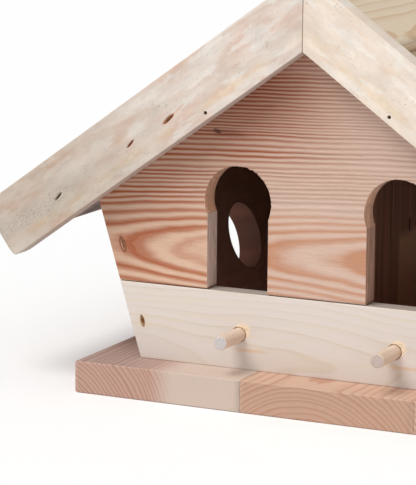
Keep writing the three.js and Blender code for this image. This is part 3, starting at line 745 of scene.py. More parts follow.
def barge_extra(side, rear, marks):
    d, up = slope_dir(side), slope_up(side)
    y = (REAR + BARGE_T) if rear else (FRONT - BARGE_T)
    n_axis = (0, 1 if rear else -1, 0)

    def at(s, h):
        px, pz = on_slope(side, s, h)
        return (px, y, pz)

    def go(M, col, height):
        # weathering: a tan and pink mottle, a grey zone along the lower half with grey specks,
        # and a yellow streak near the lower edge
        q = M.v("SUBTRACT", M.P, at(0, 0))
        sl = M.v("DOT_PRODUCT", q, tuple(d))
        hl = M.v("DOT_PRODUCT", q, tuple(up))
        cloud = M.noise(M.xyz(M.f("MULTIPLY_ADD", sl, 0.026, 3.0 * side), M.f("MULTIPLY", hl, 0.075), 0.0), 1.0, 3.0, 0.55)
        col = M.mix(M.f("MULTIPLY", M.step(cloud, 0.46, 0.64), 0.62), col, srgb(212, 180, 160) if side < 0 else srgb(232, 208, 184))
        pale = M.noise(M.xyz(M.f("MULTIPLY_ADD", sl, 0.042, 7.7), M.f("MULTIPLY", hl, 0.12), 4.0), 1.0, 4.0, 0.62)
        col = M.mix(M.f("MULTIPLY", M.step(pale, 0.50, 0.60), 0.7), col, srgb(228, 222, 213) if side < 0 else srgb(238, 230, 218))
        streak = M.f("MULTIPLY", M.step(M.f("ABSOLUTE", M.f("SUBTRACT", hl, 7.0)), 3.2, 0.6),
                     M.step(M.noise(M.xyz(M.f("MULTIPLY", sl, 0.03), 0.0, 0.0), 1.0, 1.0), 0.40, 0.55))
        col = M.mix(M.f("MULTIPLY", streak, 0.35), col, srgb(226, 196, 152))
        zone = M.spot(at(182, 14.5), tuple(d + up * 0.03), 50, 8.0, n_axis, 20, 0.4, (1.2, 0.5), 0.10)
        col = M.mix(M.f("MULTIPLY", zone, 0.62), col, srgb(212, 206, 196))
        grime = M.step(M.noise(M.xyz(M.f("MULTIPLY", sl, 0.55), M.f("MULTIPLY", hl, 1.1), 0.0), 1.0, 3.0, 0.65), 0.52, 0.66)
        dirty = M.spot(at(190, 14.0), tuple(d), 34, 5.0, n_axis, 20, 0.55, (1.3, 0.3), 0.16)
        col = M.mix(M.f("MULTIPLY", M.f("MULTIPLY", grime, dirty), 0.75), col, srgb(146, 140, 138))
        grey = M.step(M.noise(M.P, 0.8, 3.0, 0.6), 0.60, 0.72)
        patch = M.step(M.noise(M.P, 0.06, 2.0, 0.5), 0.44, 0.60)
        col = M.mix(M.f("MULTIPLY", M.f("MULTIPLY", grey, patch), 0.6), col, srgb(146, 136, 128))
        far = M.step(sl, 40.0, 175.0)
        col = M.mix(far, col, M.mix(1.0, col, (0.755, 0.715, 0.665) if side < 0 else (0.95, 0.95, 0.95), "MULTIPLY"))
        tone = M.noise(M.xyz(M.f("MULTIPLY_ADD", sl, 0.06, 1.7), M.f("MULTIPLY", hl, 0.12), 2.0), 1.0, 3.0, 0.6)
        tv = M.lin(tone, 0.3, 0.7, 0.90, 1.08)
        col = M.mix(1.0, col, M.xyz(tv, M.f("MULTIPLY", tv, 0.99), tv), "MULTIPLY")
        for kind, s, h, ang in marks:
            ca, sa = math.cos(math.radians(ang)), math.sin(math.radians(ang))
            ax = (ca, 0, sa)
            if kind == "torn":
                g = M.spot(at(s, h), ax, 5.0, 1.2, n_axis, 4, 0.4)
                col = M.mix(M.f("MULTIPLY", g, 0.85), col, srgb(190, 116, 62))
                tail = M.spot((at(s, h)[0] + 8 * ca, y, at(s, h)[2] + 8 * sa), ax, 5.5, 0.55, n_axis, 4, 0.25)
                col = M.mix(M.f("MULTIPLY", tail, 0.5), col, srgb(214, 152, 112))
            elif kind == "rust":
                g = M.spot(at(s, h), ax, 3.4, 0.72, n_axis, 4, 0.15)
                col = M.mix(M.f("MULTIPLY", g, 0.55), col, srgb(176, 104, 70))
            else:
                g = M.spot(at(s, h), ax, 3.4, 0.78, n_axis, 4, 0.15)
                col = M.mix(M.f("MULTIPLY", g, 0.5), col, srgb(150, 136, 116))
        # painted shade: the underside of the bargeboard is made darker and greyer
        under = M.step(M.v("DOT_PRODUCT", M.N, tuple(-up)), 0.7, 0.95)
        col = M.mix(M.f("MULTIPLY", under, 0.6), col, srgb(176, 156, 146))
        return col, height
    return go


BARGE_MARKS = {
    ("left", False): [("dark", 172.5, 13.4, 50), ("rust", 116.4, 13.8, 50), ("torn", 88.4, 12.6, 44)],
    ("right", False): [("dark", 174.0, 13.6, -48), ("rust", 118.0, 13.5, -46), ("dark", 88.0, 14.5, -50)],
    ("left", True): [("dark", 170.0, 13.8, 46), ("rust", 102.0, 13.6, 49)],
    ("right", True): [("rust", 171.5, 13.4, -47), ("dark", 104.0, 13.8, -50)],
}
BARGE_E = {"left": srgb(222, 211, 200), "right": srgb(232, 219, 204)}
BARGE_L = {"left": srgb(208, 181, 158), "right": srgb(222, 198, 170)}

m_barge = {}
for side, at in ((-1, "left"), (1, "right")):
    for rear in (False, True):
        d, up = slope_dir(side), slope_up(side)
        y0 = REAR + 60 if rear else FRONT - 62
        sx, sz = on_slope(side, 100, 10 + 8 * side)
        m_barge[(at, rear)] = wood(f"barge_{at}_{'rear' if rear else 'front'}", d + Vector((0, 0.05, 0)), -Y if not rear else Y,
                                   (sx, y0, sz), 4.6, BARGE_E[at], BARGE_L[at], contrast=0.5, warp=6.0,
                                   seed=11.0 + side + 3 * rear, fibre=0.035, speck=0.14, bump=0.12,
                                   extra=barge_extra(side, rear, BARGE_MARKS[(at, rear)]))


def base_extra(M, col, height):
    px = M.split(M.P)
    edge = M.noise(M.xyz(0.0, M.f("MULTIPLY", px[1], 0.012), 0.0), 1.0, 1.0)
    sap = M.f("MULTIPLY", M.step(M.f("ADD", px[0], M.f("MULTIPLY", edge, 14.0)), -80.0, -62.0), M.step(px[0], -29.0, -29.6))
    col = M.mix(M.f("MULTIPLY", sap, 0.8), col, srgb(206, 190, 176))
    # top face darker and cooler at the left end: partly the wood's own colour, partly painted shade under the roof's
    # left wing
    top = M.f("MULTIPLY", M.step(M.split(M.N)[2], 0.7, 0.95), M.step(px[0], -66.0, -96.0))
    col = M.mix(top, col, M.mix(1.0, col, (0.73, 0.76, 0.80), "MULTIPLY"))
    return col, height


BASE_E, BASE_L = srgb(206, 172, 156), srgb(160, 112, 94)
m_base_left = wood("base_left", Y, Z, (-150.0, 0, -26.0), 2.3, BASE_E, BASE_L, contrast=0.8, warp=2.5, seed=21.0, fibre=0.07,
                   speck=0.4, extra=base_extra, end=0.92)
m_base_centre = wood("base_centre", Y, Z, (10.0, 0, -40.0), 2.8, srgb(206, 172, 150), srgb(172, 116, 86), contrast=0.62, warp=3.0,
                     seed=24.0, fibre=0.06, speck=0.4, end=0.95)
m_base_right = wood("base_right", Y, Z, (120.0, 0, 60.0), 2.6, srgb(214, 180, 158), srgb(170, 112, 84), contrast=0.75, warp=3.0,
                    seed=27.0, fibre=0.06, speck=0.4, end=0.92)


def wall_mat(name, side, seed):
    up = Vector((side * TAPER, 0, 1)).normalized()
    mid = (side * (half_width(HOLE_Z) - WALL_T / 2), HOLE_Y, DECK + HOLE_Z)

    def go(M, col, height):
        # the bore of the round hole, and painted light on the lower part of the inner face
        q = M.v("SUBTRACT", M.P, mid)
        d = M.v("LENGTH", M.xyz(M.v("DOT_PRODUCT", q, (0, 1, 0)), M.v("DOT_PRODUCT", q, tuple(up)), 0.0))
        low = M.step(M.split(M.P)[2], DECK + 50.0, DECK + 8.0)
        out = M.step(M.v("DOT_PRODUCT", M.N, (side, 0, 0)), 0.3, 0.7)
        col = M.mix(M.f("MULTIPLY", low, M.f("SUBTRACT", 1.0, out)), col, M.mix(1.0, col, (1.5, 1.45, 1.6), "MULTIPLY"))
        # the outer face is clean larch with growth lines along the board
        lines = M.noise(M.xyz(0.0, M.f("MULTIPLY", M.split(M.P)[1], 0.012), M.f("MULTIPLY", M.split(M.P)[2], 0.34)), 1.0, 3.0, 0.6)
        face = M.mix(M.lin(lines, 0.38, 0.62, 0.0, 0.8), M.mix(1.0, col, (0.90, 1.03, 1.0), "MULTIPLY"),
                     M.mix(1.0, col, (0.78, 0.72, 0.62), "MULTIPLY"))
        col = M.mix(out, col, face)
        # painted shade darkens the bore of the round hole
        col = M.mix(M.step(d, HOLE_R + 0.5, HOLE_R + 0.1), col, M.mix(1.0, col, (0.46, 0.36, 0.34), "MULTIPLY"))
        return col, height
    return wood(name, Y, Vector((side, 0, 0)), (side * 60.0, 0, DECK + 60.0), 2.6, srgb(222, 176, 154), srgb(200, 150, 124),
                contrast=0.3, warp=4.0, seed=seed, fibre=0.06, speck=0.3, blotch=(0.90, 0.84, 0.80), extra=go)


m_wall_left, m_wall_right = wall_mat("wall_left", -1, 31.0), wall_mat("wall_right", 1, 34.0)


def part_extra(M, col, height):
    px = M.split(M.P)
    v = M.noise(M.xyz(0.0, M.f("MULTIPLY", px[1], 0.22), M.f("MULTIPLY", px[2], 0.006)), 1.0, 3.0, 0.6)
    k = M.lin(v, 0.3, 0.7, 0.62, 1.15)
    col = M.mix(1.0, col, M.xyz(k, k, k), "MULTIPLY")
    # painted light: a pale warm patch low on the partition, where light through the side hole falls
    pale = M.f("MULTIPLY", M.step(px[1], -34.0, -29.0), M.step(px[2], 84.0, 76.0))
    col = M.mix(M.f("MULTIPLY", pale, 0.8), col, srgb(255, 200, 160))
    slit = M.spot((10.7, -15.4, 84.5), (0, 0, 1), 4.8, 1.2, (1, 0, 0), 3.0, 0.1)
    col = M.mix(M.f("MULTIPLY", slit, 0.95), col, srgb(34, 20, 14))
    return col, height


m_part = wood("partition", Z, X, (40.0, -30.0, 0), 3.2, srgb(208, 154, 126), srgb(170, 108, 84), contrast=0.5, warp=4.0,
              seed=41.0, fibre=0.10, speck=0.4, extra=part_extra)
m_batten = wood("batten", Y, Z, (14.0, 0, 150.0), 3.6, PINE_E, PINE_L, contrast=0.7, warp=3.0, seed=44.0, fibre=0.05)


def roof_extra(side):
    up = slope_up(side)

    def go(M, col, height):
        # painted shade: the underside of the roof boards is made dark red-brown, with rough saw marks
        under = M.step(M.v("DOT_PRODUCT", M.N, tuple(-up)), 0.6, 0.9)
        rough_saw = M.noise(M.xyz(M.f("MULTIPLY", M.split(M.P)[0], 0.9), M.f("MULTIPLY", M.split(M.P)[1], 0.04), M.f("MULTIPLY", M.split(M.P)[2], 0.9)), 1.0, 3.0, 0.6)
        k = M.lin(rough_saw, 0.3, 0.7, 0.82, 1.12)
        col = M.mix(under, col, M.mix(1.0, M.mix(0.95, col, srgb(84, 47, 41)), M.xyz(k, k, k), "MULTIPLY"))
        grey = M.step(M.noise(M.P, 0.05, 3.0, 0.6), 0.50, 0.68)
        col = M.mix(M.f("MULTIPLY", grey, 0.22), col, srgb(200, 192, 180))
        return col, height
    return go


m_roof = {}
for side, at in ((-1, "left"), (1, "right")):
    d, up = slope_dir(side), slope_up(side)
    for k, (nm, s, h, sd, wdt) in enumerate((("lower", 170, -34, 51.0, 3.6), ("upper", 40, 58, 54.0, 4.2),
                                             ("lath", 96, 50, 57.0, 2.8), ("cap", 30, 6, 60.0, 3.2))):
        sx, sz = on_slope(side, s, h)
        m_roof[(nm, at)] = wood(f"roof_{nm}_{at}", Y + Vector((0.01 * (k - 1), 0, 0)), up, (sx, 0, sz), wdt,
                                srgb(222, 203, 178), srgb(196, 158, 118), contrast=0.7, warp=4.0,
                                seed=sd + side, fibre=0.05, speck=0.25, bump=0.16, extra=roof_extra(side), end=0.9)


def perch_mat(name, x, seed, end_col):
    def go(M, col, height):
        e = M.step(M.split(M.N)[1], -0.7, -0.9)
        n = M.noise(M.P, 1.3, 3.0, 0.65)
        col = M.mix(e, col, M.mix(M.step(n, 0.35, 0.65), tuple(v * 0.80 for v in end_col), end_col))
        fleck = M.step(M.noise(M.xyz(M.f("MULTIPLY", M.split(M.P)[0], 2.2), M.f("MULTIPLY", M.split(M.P)[1], 0.35), M.f("MULTIPLY", M.split(M.P)[2], 2.2)), 1.0, 2.0, 0.5), 0.62, 0.72)
        col = M.mix(M.f("MULTIPLY", M.f("MULTIPLY", fleck, M.f("SUBTRACT", 1.0, e)), 0.4), col, srgb(196, 150, 122))
        return col, height
    return wood(name, Y, Z, (x + 30.0, 0, DECK + 60.0), 1.6, srgb(222, 200, 180), srgb(204, 174, 150), contrast=0.6, warp=1.0,
                seed=seed, fibre=0.05, speck=0.2, extra=go, bump=0.15)


m_perch = [perch_mat("perch_a", PERCHES[0], 71.0, srgb(206, 198, 197)), perch_mat("perch_b", PERCHES[1], 74.0, srgb(200, 181, 172))]


def steel_mat(name, base, rust, amount, rough=0.45, metallic=0.85):
    M = Mat(name)
    n = M.noise(M.P, 1.6, 4.0, 0.65)
    fine = M.noise(M.P, 6.0, 3.0, 0.6)
    mask = M.f("MULTIPLY", M.step(n, 0.62 - 0.35 * amount, 0.72 - 0.3 * amount), 1.0)
    col = M.mix(mask, M.mix(M.step(fine, 0.35, 0.7), base, tuple(v * 0.7 for v in base)), rust)
    M.put(M.bsdf.inputs["Base Color"], col)
    M.put(M.bsdf.inputs["Metallic"], M.lin(mask, 0, 1, metallic, 0.1))
    M.put(M.bsdf.inputs["Roughness"], M.lin(mask, 0, 1, rough, 0.85))
    bn = M.t.nodes.new("ShaderNodeBump")
    bn.inputs["Strength"].default_value = 0.2
    bn.inputs["Distance"].default_value = 0.0001
    M.t.links.new(fine, bn.inputs["Height"])
    M.t.links.new(bn.outputs[0], M.bsdf.inputs["Normal"])
    return M.m


m_steel_dark = steel_mat("staple_dark", srgb(84, 74, 60), srgb(70, 48, 32), 0.4)
m_steel_rust = steel_mat("staple_rust", srgb(120, 70, 50), srgb(142, 60, 34), 0.9)
m_steel_mid = steel_mat("staple_mid", srgb(112, 96, 74), srgb(126, 82, 46), 0.6)
m_pin = steel_mat("pin_steel", srgb(70, 56, 50), srgb(66, 40, 30), 0.5)
m_pin_brown = steel_mat("pin_brown", srgb(122, 84, 50), srgb(116, 70, 34), 0.7)
m_zinc = steel_mat("zinc", srgb(196, 198, 198), srgb(176, 176, 172), 0.3, 0.34, 1.0)

# ------------------------------------------------------------------ the boards
EXX, EZZ = (1, 0, 0), (0, 0, 1)


def front_plate(t0, t1, y):
    """Faces -Y: u is X, v is Z."""
    return Plate((1, 0, 0), (0, 0, 1), (0, -1, 0), (0, y, 0), t0, t1)


def rear_plate(t0, t1, y):
    """Faces +Y: u is -X, v is Z."""
    return Plate((-1, 0, 0), (0, 0, 1), (0, 1, 0), (0, y, 0), t0, t1)


def mirror_u(points):
    return [(-u, v) for u, v in reversed(points)]


# base: the underside is the high face, so that its staples sit in it
for i, (name, mat) in enumerate((("base_board_left", m_base_left), ("base_board_centre", m_base_centre), ("base_board_right", m_base_right))):
    edges = [-BASE_HALF_W, *BASE_JOINTS, BASE_HALF_W]
    x0, x1 = edges[i] + (GAP / 2 if i else 0), edges[i + 1] - (GAP / 2 if i < 2 else 0)
    by = DEPTH / 2 + OVERHANG
    p = Plate((1, 0, 0), (0, -1, 0), (0, 0, -1), (0, 0, 0), -BASE_T, 0)
    rl, rr = (0.8 if i == 0 else 0.35), (0.8 if i == 2 else 0.35)
    p.loop([(x0, -by), (x1, -by), (x1, by), (x0, by)], r=[0.7, rr, 0.7, rl], seg=5.0)
    for y in (FRONT + BOARD_T / 2, REAR - BOARD_T / 2):
        x = (-66, 22, 88)[i]
        p.dent(1, (x, -y), 0.0, 3.5, 0.95, 1.1, seed=i + 3)
    finish_piece(p.build("visual_" + name, grid=9.0, rows=5.0, wob=0.08, seed=i), name, mat)

# lower boards
sill_top = DECK + SILL_H
outline = [(-half_width(0), DECK), (half_width(0), DECK), (half_width(SILL_H), sill_top), (-half_width(SILL_H), sill_top)]


def circle(cx, cy, r, n, rag=0.0, seed=0.0, start=0.0):
    pts = []
    for k in range(n):
        a = start - 2 * math.pi * k / n
        rr = r
        if rag:
            rr += rag * max(0.0, mnoise.noise(Vector((math.cos(a) * 3.1 + seed, math.sin(a) * 3.1, seed)))) * (0.35 + 0.65 * max(0, math.cos(a - 0.6)))
        pts.append((cx + rr * math.cos(a), cy + rr * math.sin(a)))
    return pts


def perch_tear(cx, cy, seed):
    def f(u, v):
        a = math.atan2(v - cy, u - cx)
        w = max(0.0, math.cos(a - 0.75))
        return w * (0.25 + 1.5 * max(0.0, mnoise.noise(Vector((u * 1.9 + seed, v * 1.9, 0.0))))) * 1.1
    return f


p = front_plate(-BOARD_T, 0, FRONT)
p.loop(outline, r=[0.5, 0.7, (0.8, 1.6), 0.7], seg=[6.0, 2.0, 6.0, 2.0])
for k, x in enumerate(PERCHES):
    p.loop(circle(x, DECK + PERCH_Z, PERCH_R + 0.22, 44, 0.75, 3.0 + k), r=0.35, seg=5.0, tear=perch_tear(x, DECK + PERCH_Z, 5.0 * k))
p.dent(1, (-(half_width(21.4) - 7.8), DECK + 21.4), math.pi / 2 + 0.2, 2.7, 1.15, 0.9, 0.15, 8)
p.dent(1, (half_width(20.0) - 7.8, DECK + 20.0), 0.3, 1.7, 1.5, 0.9, 0.1, 9)
finish_piece(p.build("visual_front_lower_board", grid=6.0, rows=3.0, steps=5, wob=0.06, seed=5), "front_lower_board", m_front_sill)

p = rear_plate(-BOARD_T, 0, REAR)
p.loop(outline, r=[0.5, 0.7, (EASE_R, EASE_R), 0.7], seg=[6.0, 4.0, 6.0, 4.0])
for sx in (-1, 1):
    p.dent(1, (sx * (half_width(20.0) - 7.8), DECK + 20.0), 0.4, 1.7, 1.5, 0.9, 0.1, 10 + sx)
finish_piece(p.build("visual_rear_lower_board", grid=6.0, rows=3.0, steps=5, wob=0.06, seed=6), "rear_lower_board", m_rear_sill)

# gable panels
foot = DECK + SILL_H + GAP
panel_h = DECK_H - GAP
sh_x = (FLOOR_HALF_W + TAPER * slope_z(0, panel_h)) / (1 + TAPER * TAN)
sh_z = DECK + slope_z(sh_x, panel_h)
apex = DECK + slope_z(0, panel_h)
zf = foot - DECK


def door_points(x):
    drop = math.sqrt(DOOR_R ** 2 - DOOR_HALF_W ** 2)
    start = math.atan2(-drop, DOOR_HALF_W)
    pts = []
    steps = 92
    for i in range(steps + 1):
        a = (math.pi - start) - (i / steps) * (math.pi - 2 * start)
        rr = DOOR_R + 0.18 * mnoise.noise(Vector((math.cos(a) * 9 + x, math.sin(a) * 9, 2.0)))
        w = max(0.0, math.cos(a - 1.1)) ** 0.6 if 0 < i < steps else 0.0
        rr += 1.05 * w * max(0.0, mnoise.noise(Vector((math.cos(a) * 15 + x, math.sin(a) * 15, 5.0))) - 0.05)
        pts.append((x + rr * math.cos(a), DECK + DOOR_Z + rr * math.sin(a)))
    return pts


def door_tear(u, v):
    amt = 0.0
    for k, x in enumerate(DOORS):
        if abs(u - x) < 26 and v > foot + 2:
            a = math.atan2(v - (DECK + DOOR_Z), u - x)
            top = max(0.0, math.sin(a)) ** 2 if v > DECK + DOOR_Z else 0.0
            lean = 1.3 if (u > x) != (k == 1 and False) else 0.8
            n = mnoise.noise(Vector((u * 0.75 + 11 * k, v * 0.75, 3.0)))
            amt += top * lean * max(0.0, n + 0.05) * 2.6
            amt += 0.35 * max(0.0, mnoise.noise(Vector((u * 0.5, v * 0.35 + 7 * k, 9.0))))
    return min(amt, 0.7)


FOOT_R = 1.2
pts, rads, segs = [], [], []


def add_pt(pt, r, seg):
    pts.append(pt)
    rads.append(r)
    segs.append(seg)


add_pt((-half_width(zf), foot), (FOOT_R, FOOT_R), 6.0)
for x in DOORS:
    add_pt((x - DOOR_HALF_W, foot), (0.3, 0.2), 1.4)
    arc = door_points(x)
    for q in arc[:-1]:
        add_pt(q, (0.22, 0.18), 1.4)
    add_pt(arc[-1], (0.35, 0.2), 1.4)
    add_pt((x + DOOR_HALF_W, foot), (FOOT_R, FOOT_R), 6.0)
add_pt((half_width(zf), foot), 0.7, 4.0)
add_pt((sh_x, sh_z), 0.7, 6.0)
add_pt((0, apex), 0.7, 6.0)
add_pt((-sh_x, sh_z), 0.7, 4.0)
p = front_plate(-BOARD_T, 0, FRONT)
p.loop(pts, r=rads, seg=segs, tear=door_tear)
ang = math.atan2(1, -TAPER)
p.dent(1, (-(half_width(63.9) - 8), DECK + 63.9), ang, 3.3, 0.8, 1.0, 0.25, 2)
p.dent(1, (half_width(66.5) - 8, DECK + 66.5), math.atan2(1, TAPER), 3.5, 1.0, 1.0, 0.2, 3)
finish_piece(p.build("visual_front_panel", grid=5.0, rows=2.5, steps=4, wob=0.05, seed=8), "front_panel", m_front_panel)

outline = [(-half_width(zf), foot), (half_width(zf), foot), (sh_x, sh_z), (0, apex), (-sh_x, sh_z)]
p = rear_plate(-BOARD_T, 0, REAR)
p.loop(outline, r=[(EASE_R, EASE_R), 0.7, 0.7, 0.7, 0.7], seg=[6.0, 4.0, 6.0, 6.0, 4.0])
for sx in (-1, 1):
    p.dent(1, (sx * (half_width(66.5) - 8), DECK + 66.5), math.atan2(1, sx * TAPER), 3.5, 1.0, 1.0, 0.2, 4 + sx)
finish_piece(p.build("visual_rear_panel", grid=6.0, rows=3.0, steps=4, wob=0.05, seed=9), "rear_panel", m_rear_panel)

# side walls: u runs along the depth, v up the leaning face
run = WALL_T * math.sqrt(1 + TAPER * TAPER)
for side, name, mat in ((-1, "left_wall", m_wall_left), (1, "right_wall", m_wall_right)):
    up = np.array([side * TAPER, 0, 1.0])
    up /= np.linalg.norm(up)
    en = np.array([side * 1.0, 0, -TAPER])
    en /= np.linalg.norm(en)
    origin = np.array([side * half_width(0), 0, DECK])

    def vof(x, z):
        return float((np.array([x, 0, z]) - origin) @ up)

    def top(inset):
        x = (FLOOR_HALF_W - inset + TAPER * slope_z(0, panel_h)) / (1 + TAPER * TAN)
        return vof(side * x, DECK + slope_z(x, panel_h))

    v0_out, v1_out = vof(side * half_width(GAP), DECK + GAP), top(0)
    v0_in, v1_in = vof(side * (half_width(GAP) - run), DECK + GAP), top(run)
    ex = np.cross(up, en)            # so that ex, up, en are right-handed
    sgn = 1 if ex[1] > 0 else -1
    ua, ub = sorted((INNER_FRONT * sgn, INNER_REAR * sgn))
    p = Plate(ex, up, en, origin, -WALL_T, 0)
    p.loop([(ua, v0_out), (ub, v0_out), (ub, v1_out), (ua, v1_out)],
           [(ua, v0_in), (ub, v0_in), (ub, v1_in), (ua, v1_in)], r=0.5, seg=6.0)
    hv = vof(side * (half_width(HOLE_Z) - run / 2), DECK + HOLE_Z)
    p.loop(circle(HOLE_Y * sgn, hv, HOLE_R, 96, 0.12, 7.0 + side), r=0.22, seg=5.0,
           tear=lambda u, v, s=side: 0.25 * max(0.0, mnoise.noise(Vector((u * 0.5 + s, v * 0.5, 5.0)))))
    finish_piece(p.build("visual_" + name, grid=8.0, rows=3.0, seed=12 + side), name, mat)

# partition and batten
third = (INNER_REAR - INNER_FRONT) / 3
for i, at in enumerate(("front", "middle", "rear")):
    y0 = INNER_FRONT + i * third + (GAP / 2 if i else 0)
    y1 = INNER_FRONT + (i + 1) * third - (GAP / 2 if i < 2 else 0)
    p = Plate((0, 1, 0), (0, 0, 1), (1, 0, 0), (DOOR_SHIFT, 0, 0), -BOARD_T / 2, BOARD_T / 2)
    p.loop([(y0, DECK + GAP), (y1, DECK + GAP), (y1, DECK + 163 - GAP), (y0, DECK + 163 - GAP)], r=0.6, seg=8.0)
    finish_piece(p.build(f"visual_partition_{at}", grid=10.0, rows=4.0, seed=20 + i), f"partition_board_{at}", m_part)
bt, bs = DECK + slope_z(0, panel_h - GAP), DECK + slope_z(10, panel_h - GAP)
p = front_plate(-INNER_REAR, -INNER_FRONT, 0)
p.loop([(-10, DECK + 163), (10, DECK + 163), (10, bs), (0, bt), (-10, bs)], r=0.6, seg=4.0)
finish_piece(p.build("visual_ridge_batten", grid=6.0, rows=12.0, seed=24), "ridge_batten", m_batten)

# roof
deck_top = DECK_H + ROOF_T
cap_top = deck_top + GAP + CAP_T


def slope_piece(name, node, side, s_range, h_range, ridge, mat, seed, r=0.6):
    s0, s1 = s_range
    h0, h1 = h_range

    def start(h):
        return (-h * TAN + GAP / 2 / COS) if ridge else s0
    quad = [on_slope(side, s, h) for s, h in ((start(h0), h0), (s1, h0), (s1, h1), (start(h1), h1))]
    if area2(quad) < 0:
        quad = quad[::-1]
    p = front_plate(-(REAR - GAP), -(FRONT + GAP), 0)
    p.loop(quad, r=r, seg=5.0)
    finish_piece(p.build(name, grid=6.0, rows=10.0, seed=seed), node, mat)


for k, (side, at) in enumerate(((-1, "left"), (1, "right"))):
    slope_piece(f"visual_roof_lower_{at}", f"roof_lower_board_{at}", side, (DECK_JOINT + GAP / 2, DECK_END), (DECK_H, deck_top), False, m_roof[("lower", at)], 30 + k)
    slope_piece(f"visual_roof_upper_{at}", f"roof_upper_board_{at}", side, (0, DECK_JOINT - GAP / 2), (DECK_H, deck_top), True, m_roof[("upper", at)], 32 + k)
    slope_piece(f"visual_roof_lath_{at}", f"roof_lath_{at}", side, (DECK_JOINT - LATH_W / 2, DECK_JOINT + LATH_W / 2), (deck_top + GAP, deck_top + GAP + LATH_T), False, m_roof[("lath", at)], 34 + k, 0.9)
    slope_piece(f"visual_ridge_cap_{at}", f"ridge_cap_{at}", side, (0, CAP_W), (deck_top + GAP, cap_top), True, m_roof[("cap", at)], 36 + k, 0.7)

# bargeboards
FAST = {
    ("left", False): [("staple", 172.5, 13.4, 50), ("staple", 116.4, 13.8, 50), ("torn", 88.4, 12.6, 44), ("pin", 67.4, 3.6, 0)],
    ("right", False): [("staple", 174.0, 13.6, -48), ("staple", 118.0, 13.5, -46), ("staple", 88.0, 14.5, -50), ("pin", 59.2, 3.6, 0)],
    ("left", True): [("staple", 170.0, 13.8, 46), ("staple", 102.0, 13.6, 49), ("pin", 62.0, 3.8, 0)],
    ("right", True): [("staple", 171.5, 13.4, -47), ("staple", 104.0, 13.8, -50), ("pin", 64.0, 3.6, 0)],
}
for side, at in ((-1, "left"), (1, "right")):
    for rear in (False, True):
        def apex_s(h):
            return -h * TAN + GAP / 2 / COS
        raw = [(apex_s(0), 0, 0.5), (BARGE_END - 5.0, 0.0, 0.6), (BARGE_END - 1.6, 0.5, 0.6), (BARGE_END - 0.3, 2.2, 0.8),
               (BARGE_END, 5.5, 0.8), (BARGE_END, BARGE_W - 1.2, 0.6), (BARGE_END - 1.0, BARGE_W, 0.8), (apex_s(BARGE_W), BARGE_W, 0.4)]
        quad = [on_slope(side, s, h) for s, h, _ in raw]
        rads = [r for _, _, r in raw]
        flip = -1 if rear else 1
        quad = [(flip * u, v) for u, v in quad]
        if area2(quad) < 0:
            n = len(quad)
            quad = quad[::-1]
            rads = [rads[(n - 2 - i) % n] for i in range(n)]
        y = REAR + BARGE_T if rear else FRONT - BARGE_T
        p = (rear_plate if rear else front_plate)(-BARGE_T, 0, y)
        p.loop(quad, r=rads, seg=4.0)
        for j, (kind, s, h, a_) in enumerate(FAST[(at, rear)]):
            u, v = on_slope(side, s, h)
            ang = math.radians(a_)
            if rear:
                ang = math.pi - ang
            if kind == "pin":
                p.dent(1, (flip * u, v), 0.3, 1.05, 0.98, 0.85, 0.05, 40 + j)
            elif kind == "torn":
                p.dent(1, (flip * u, v), ang, 4.2, 0.95, 1.2, 0.25, 50 + j)
            else:
                p.dent(1, (flip * u, v), ang, 3.1, 0.6, 1.15, 0.06, 60 + j)
        finish_piece(p.build(f"visual_bargeboard_{'rear' if rear else 'front'}_{at}", grid=6.0, rows=3.0, steps=4, wob=0.08, seed=40 + side + 4 * rear),
                     f"bargeboard_{'rear' if rear else 'front'}_{at}", m_barge[(at, rear)])


# ------------------------------------------------------------------- perches
def lathe(name, profile, matrix, n=48, wobble=0.0, seed=0.0):
    """profile: (radius, height) from end to end; both ends at radius 0."""
    verts, faces, rings = [], [], []
    for rr, h in profile:
        if rr < 1e-6:
            rings.append([len(verts)])
            verts.append(matrix @ Vector((0, 0, h)))
            continue
        ring = []
        for k in range(n):
            a = 2 * math.pi * k / n
            w = 1 + wobble * mnoise.noise(Vector((math.cos(a) * 1.7 + seed, math.sin(a) * 1.7, h * 0.05)))
            ring.append(len(verts))
            verts.append(matrix @ Vector((rr * w * math.cos(a), rr * w * math.sin(a), h)))
        rings.append(ring)
    for a, b in zip(rings[:-1], rings[1:]):
        if len(a) == 1:
            faces += [(a[0], b[(k + 1) % n], b[k]) for k in range(n)]
        elif len(b) == 1:
            faces += [(a[k], a[(k + 1) % n], b[0]) for k in range(n)]
        else:
            faces += [(a[k], a[(k + 1) % n], b[(k + 1) % n], b[k]) for k in range(n)]
    return make(name, [tuple(v) for v in verts], faces)


for i, x in enumerate(PERCHES):
    prof = [(0, -PERCH_IN), (PERCH_R - 0.6, -PERCH_IN), (PERCH_R - 0.05, -PERCH_IN + 0.6)]
    prof += [(PERCH_R - 0.03 * (k % 2), -PERCH_IN + 1 + k * 2.0) for k in range(17)]
    prof += [(PERCH_R, PERCH_OUT - 0.9), (PERCH_R - 0.12, PERCH_OUT - 0.45), (PERCH_R - 0.4, PERCH_OUT - 0.12), (PERCH_R - 0.8, PERCH_OUT)]
    prof += [(2.4, PERCH_OUT + 0.0), (1.6, PERCH_OUT - 0.05), (0.8, PERCH_OUT - 0.02), (0, PERCH_OUT - 0.04)]
    mat4 = Matrix(((1, 0, 0, x), (0, 0, -1, FRONT), (0, 1, 0, DECK + PERCH_Z), (0, 0, 0, 1)))
    o = lathe(f"visual_perch_{'left' if i == 0 else 'right'}", prof, mat4, 56, 0.018, i * 3.0)
    finish_piece(o, "perch_left" if i == 0 else "perch_right", m_perch[i])


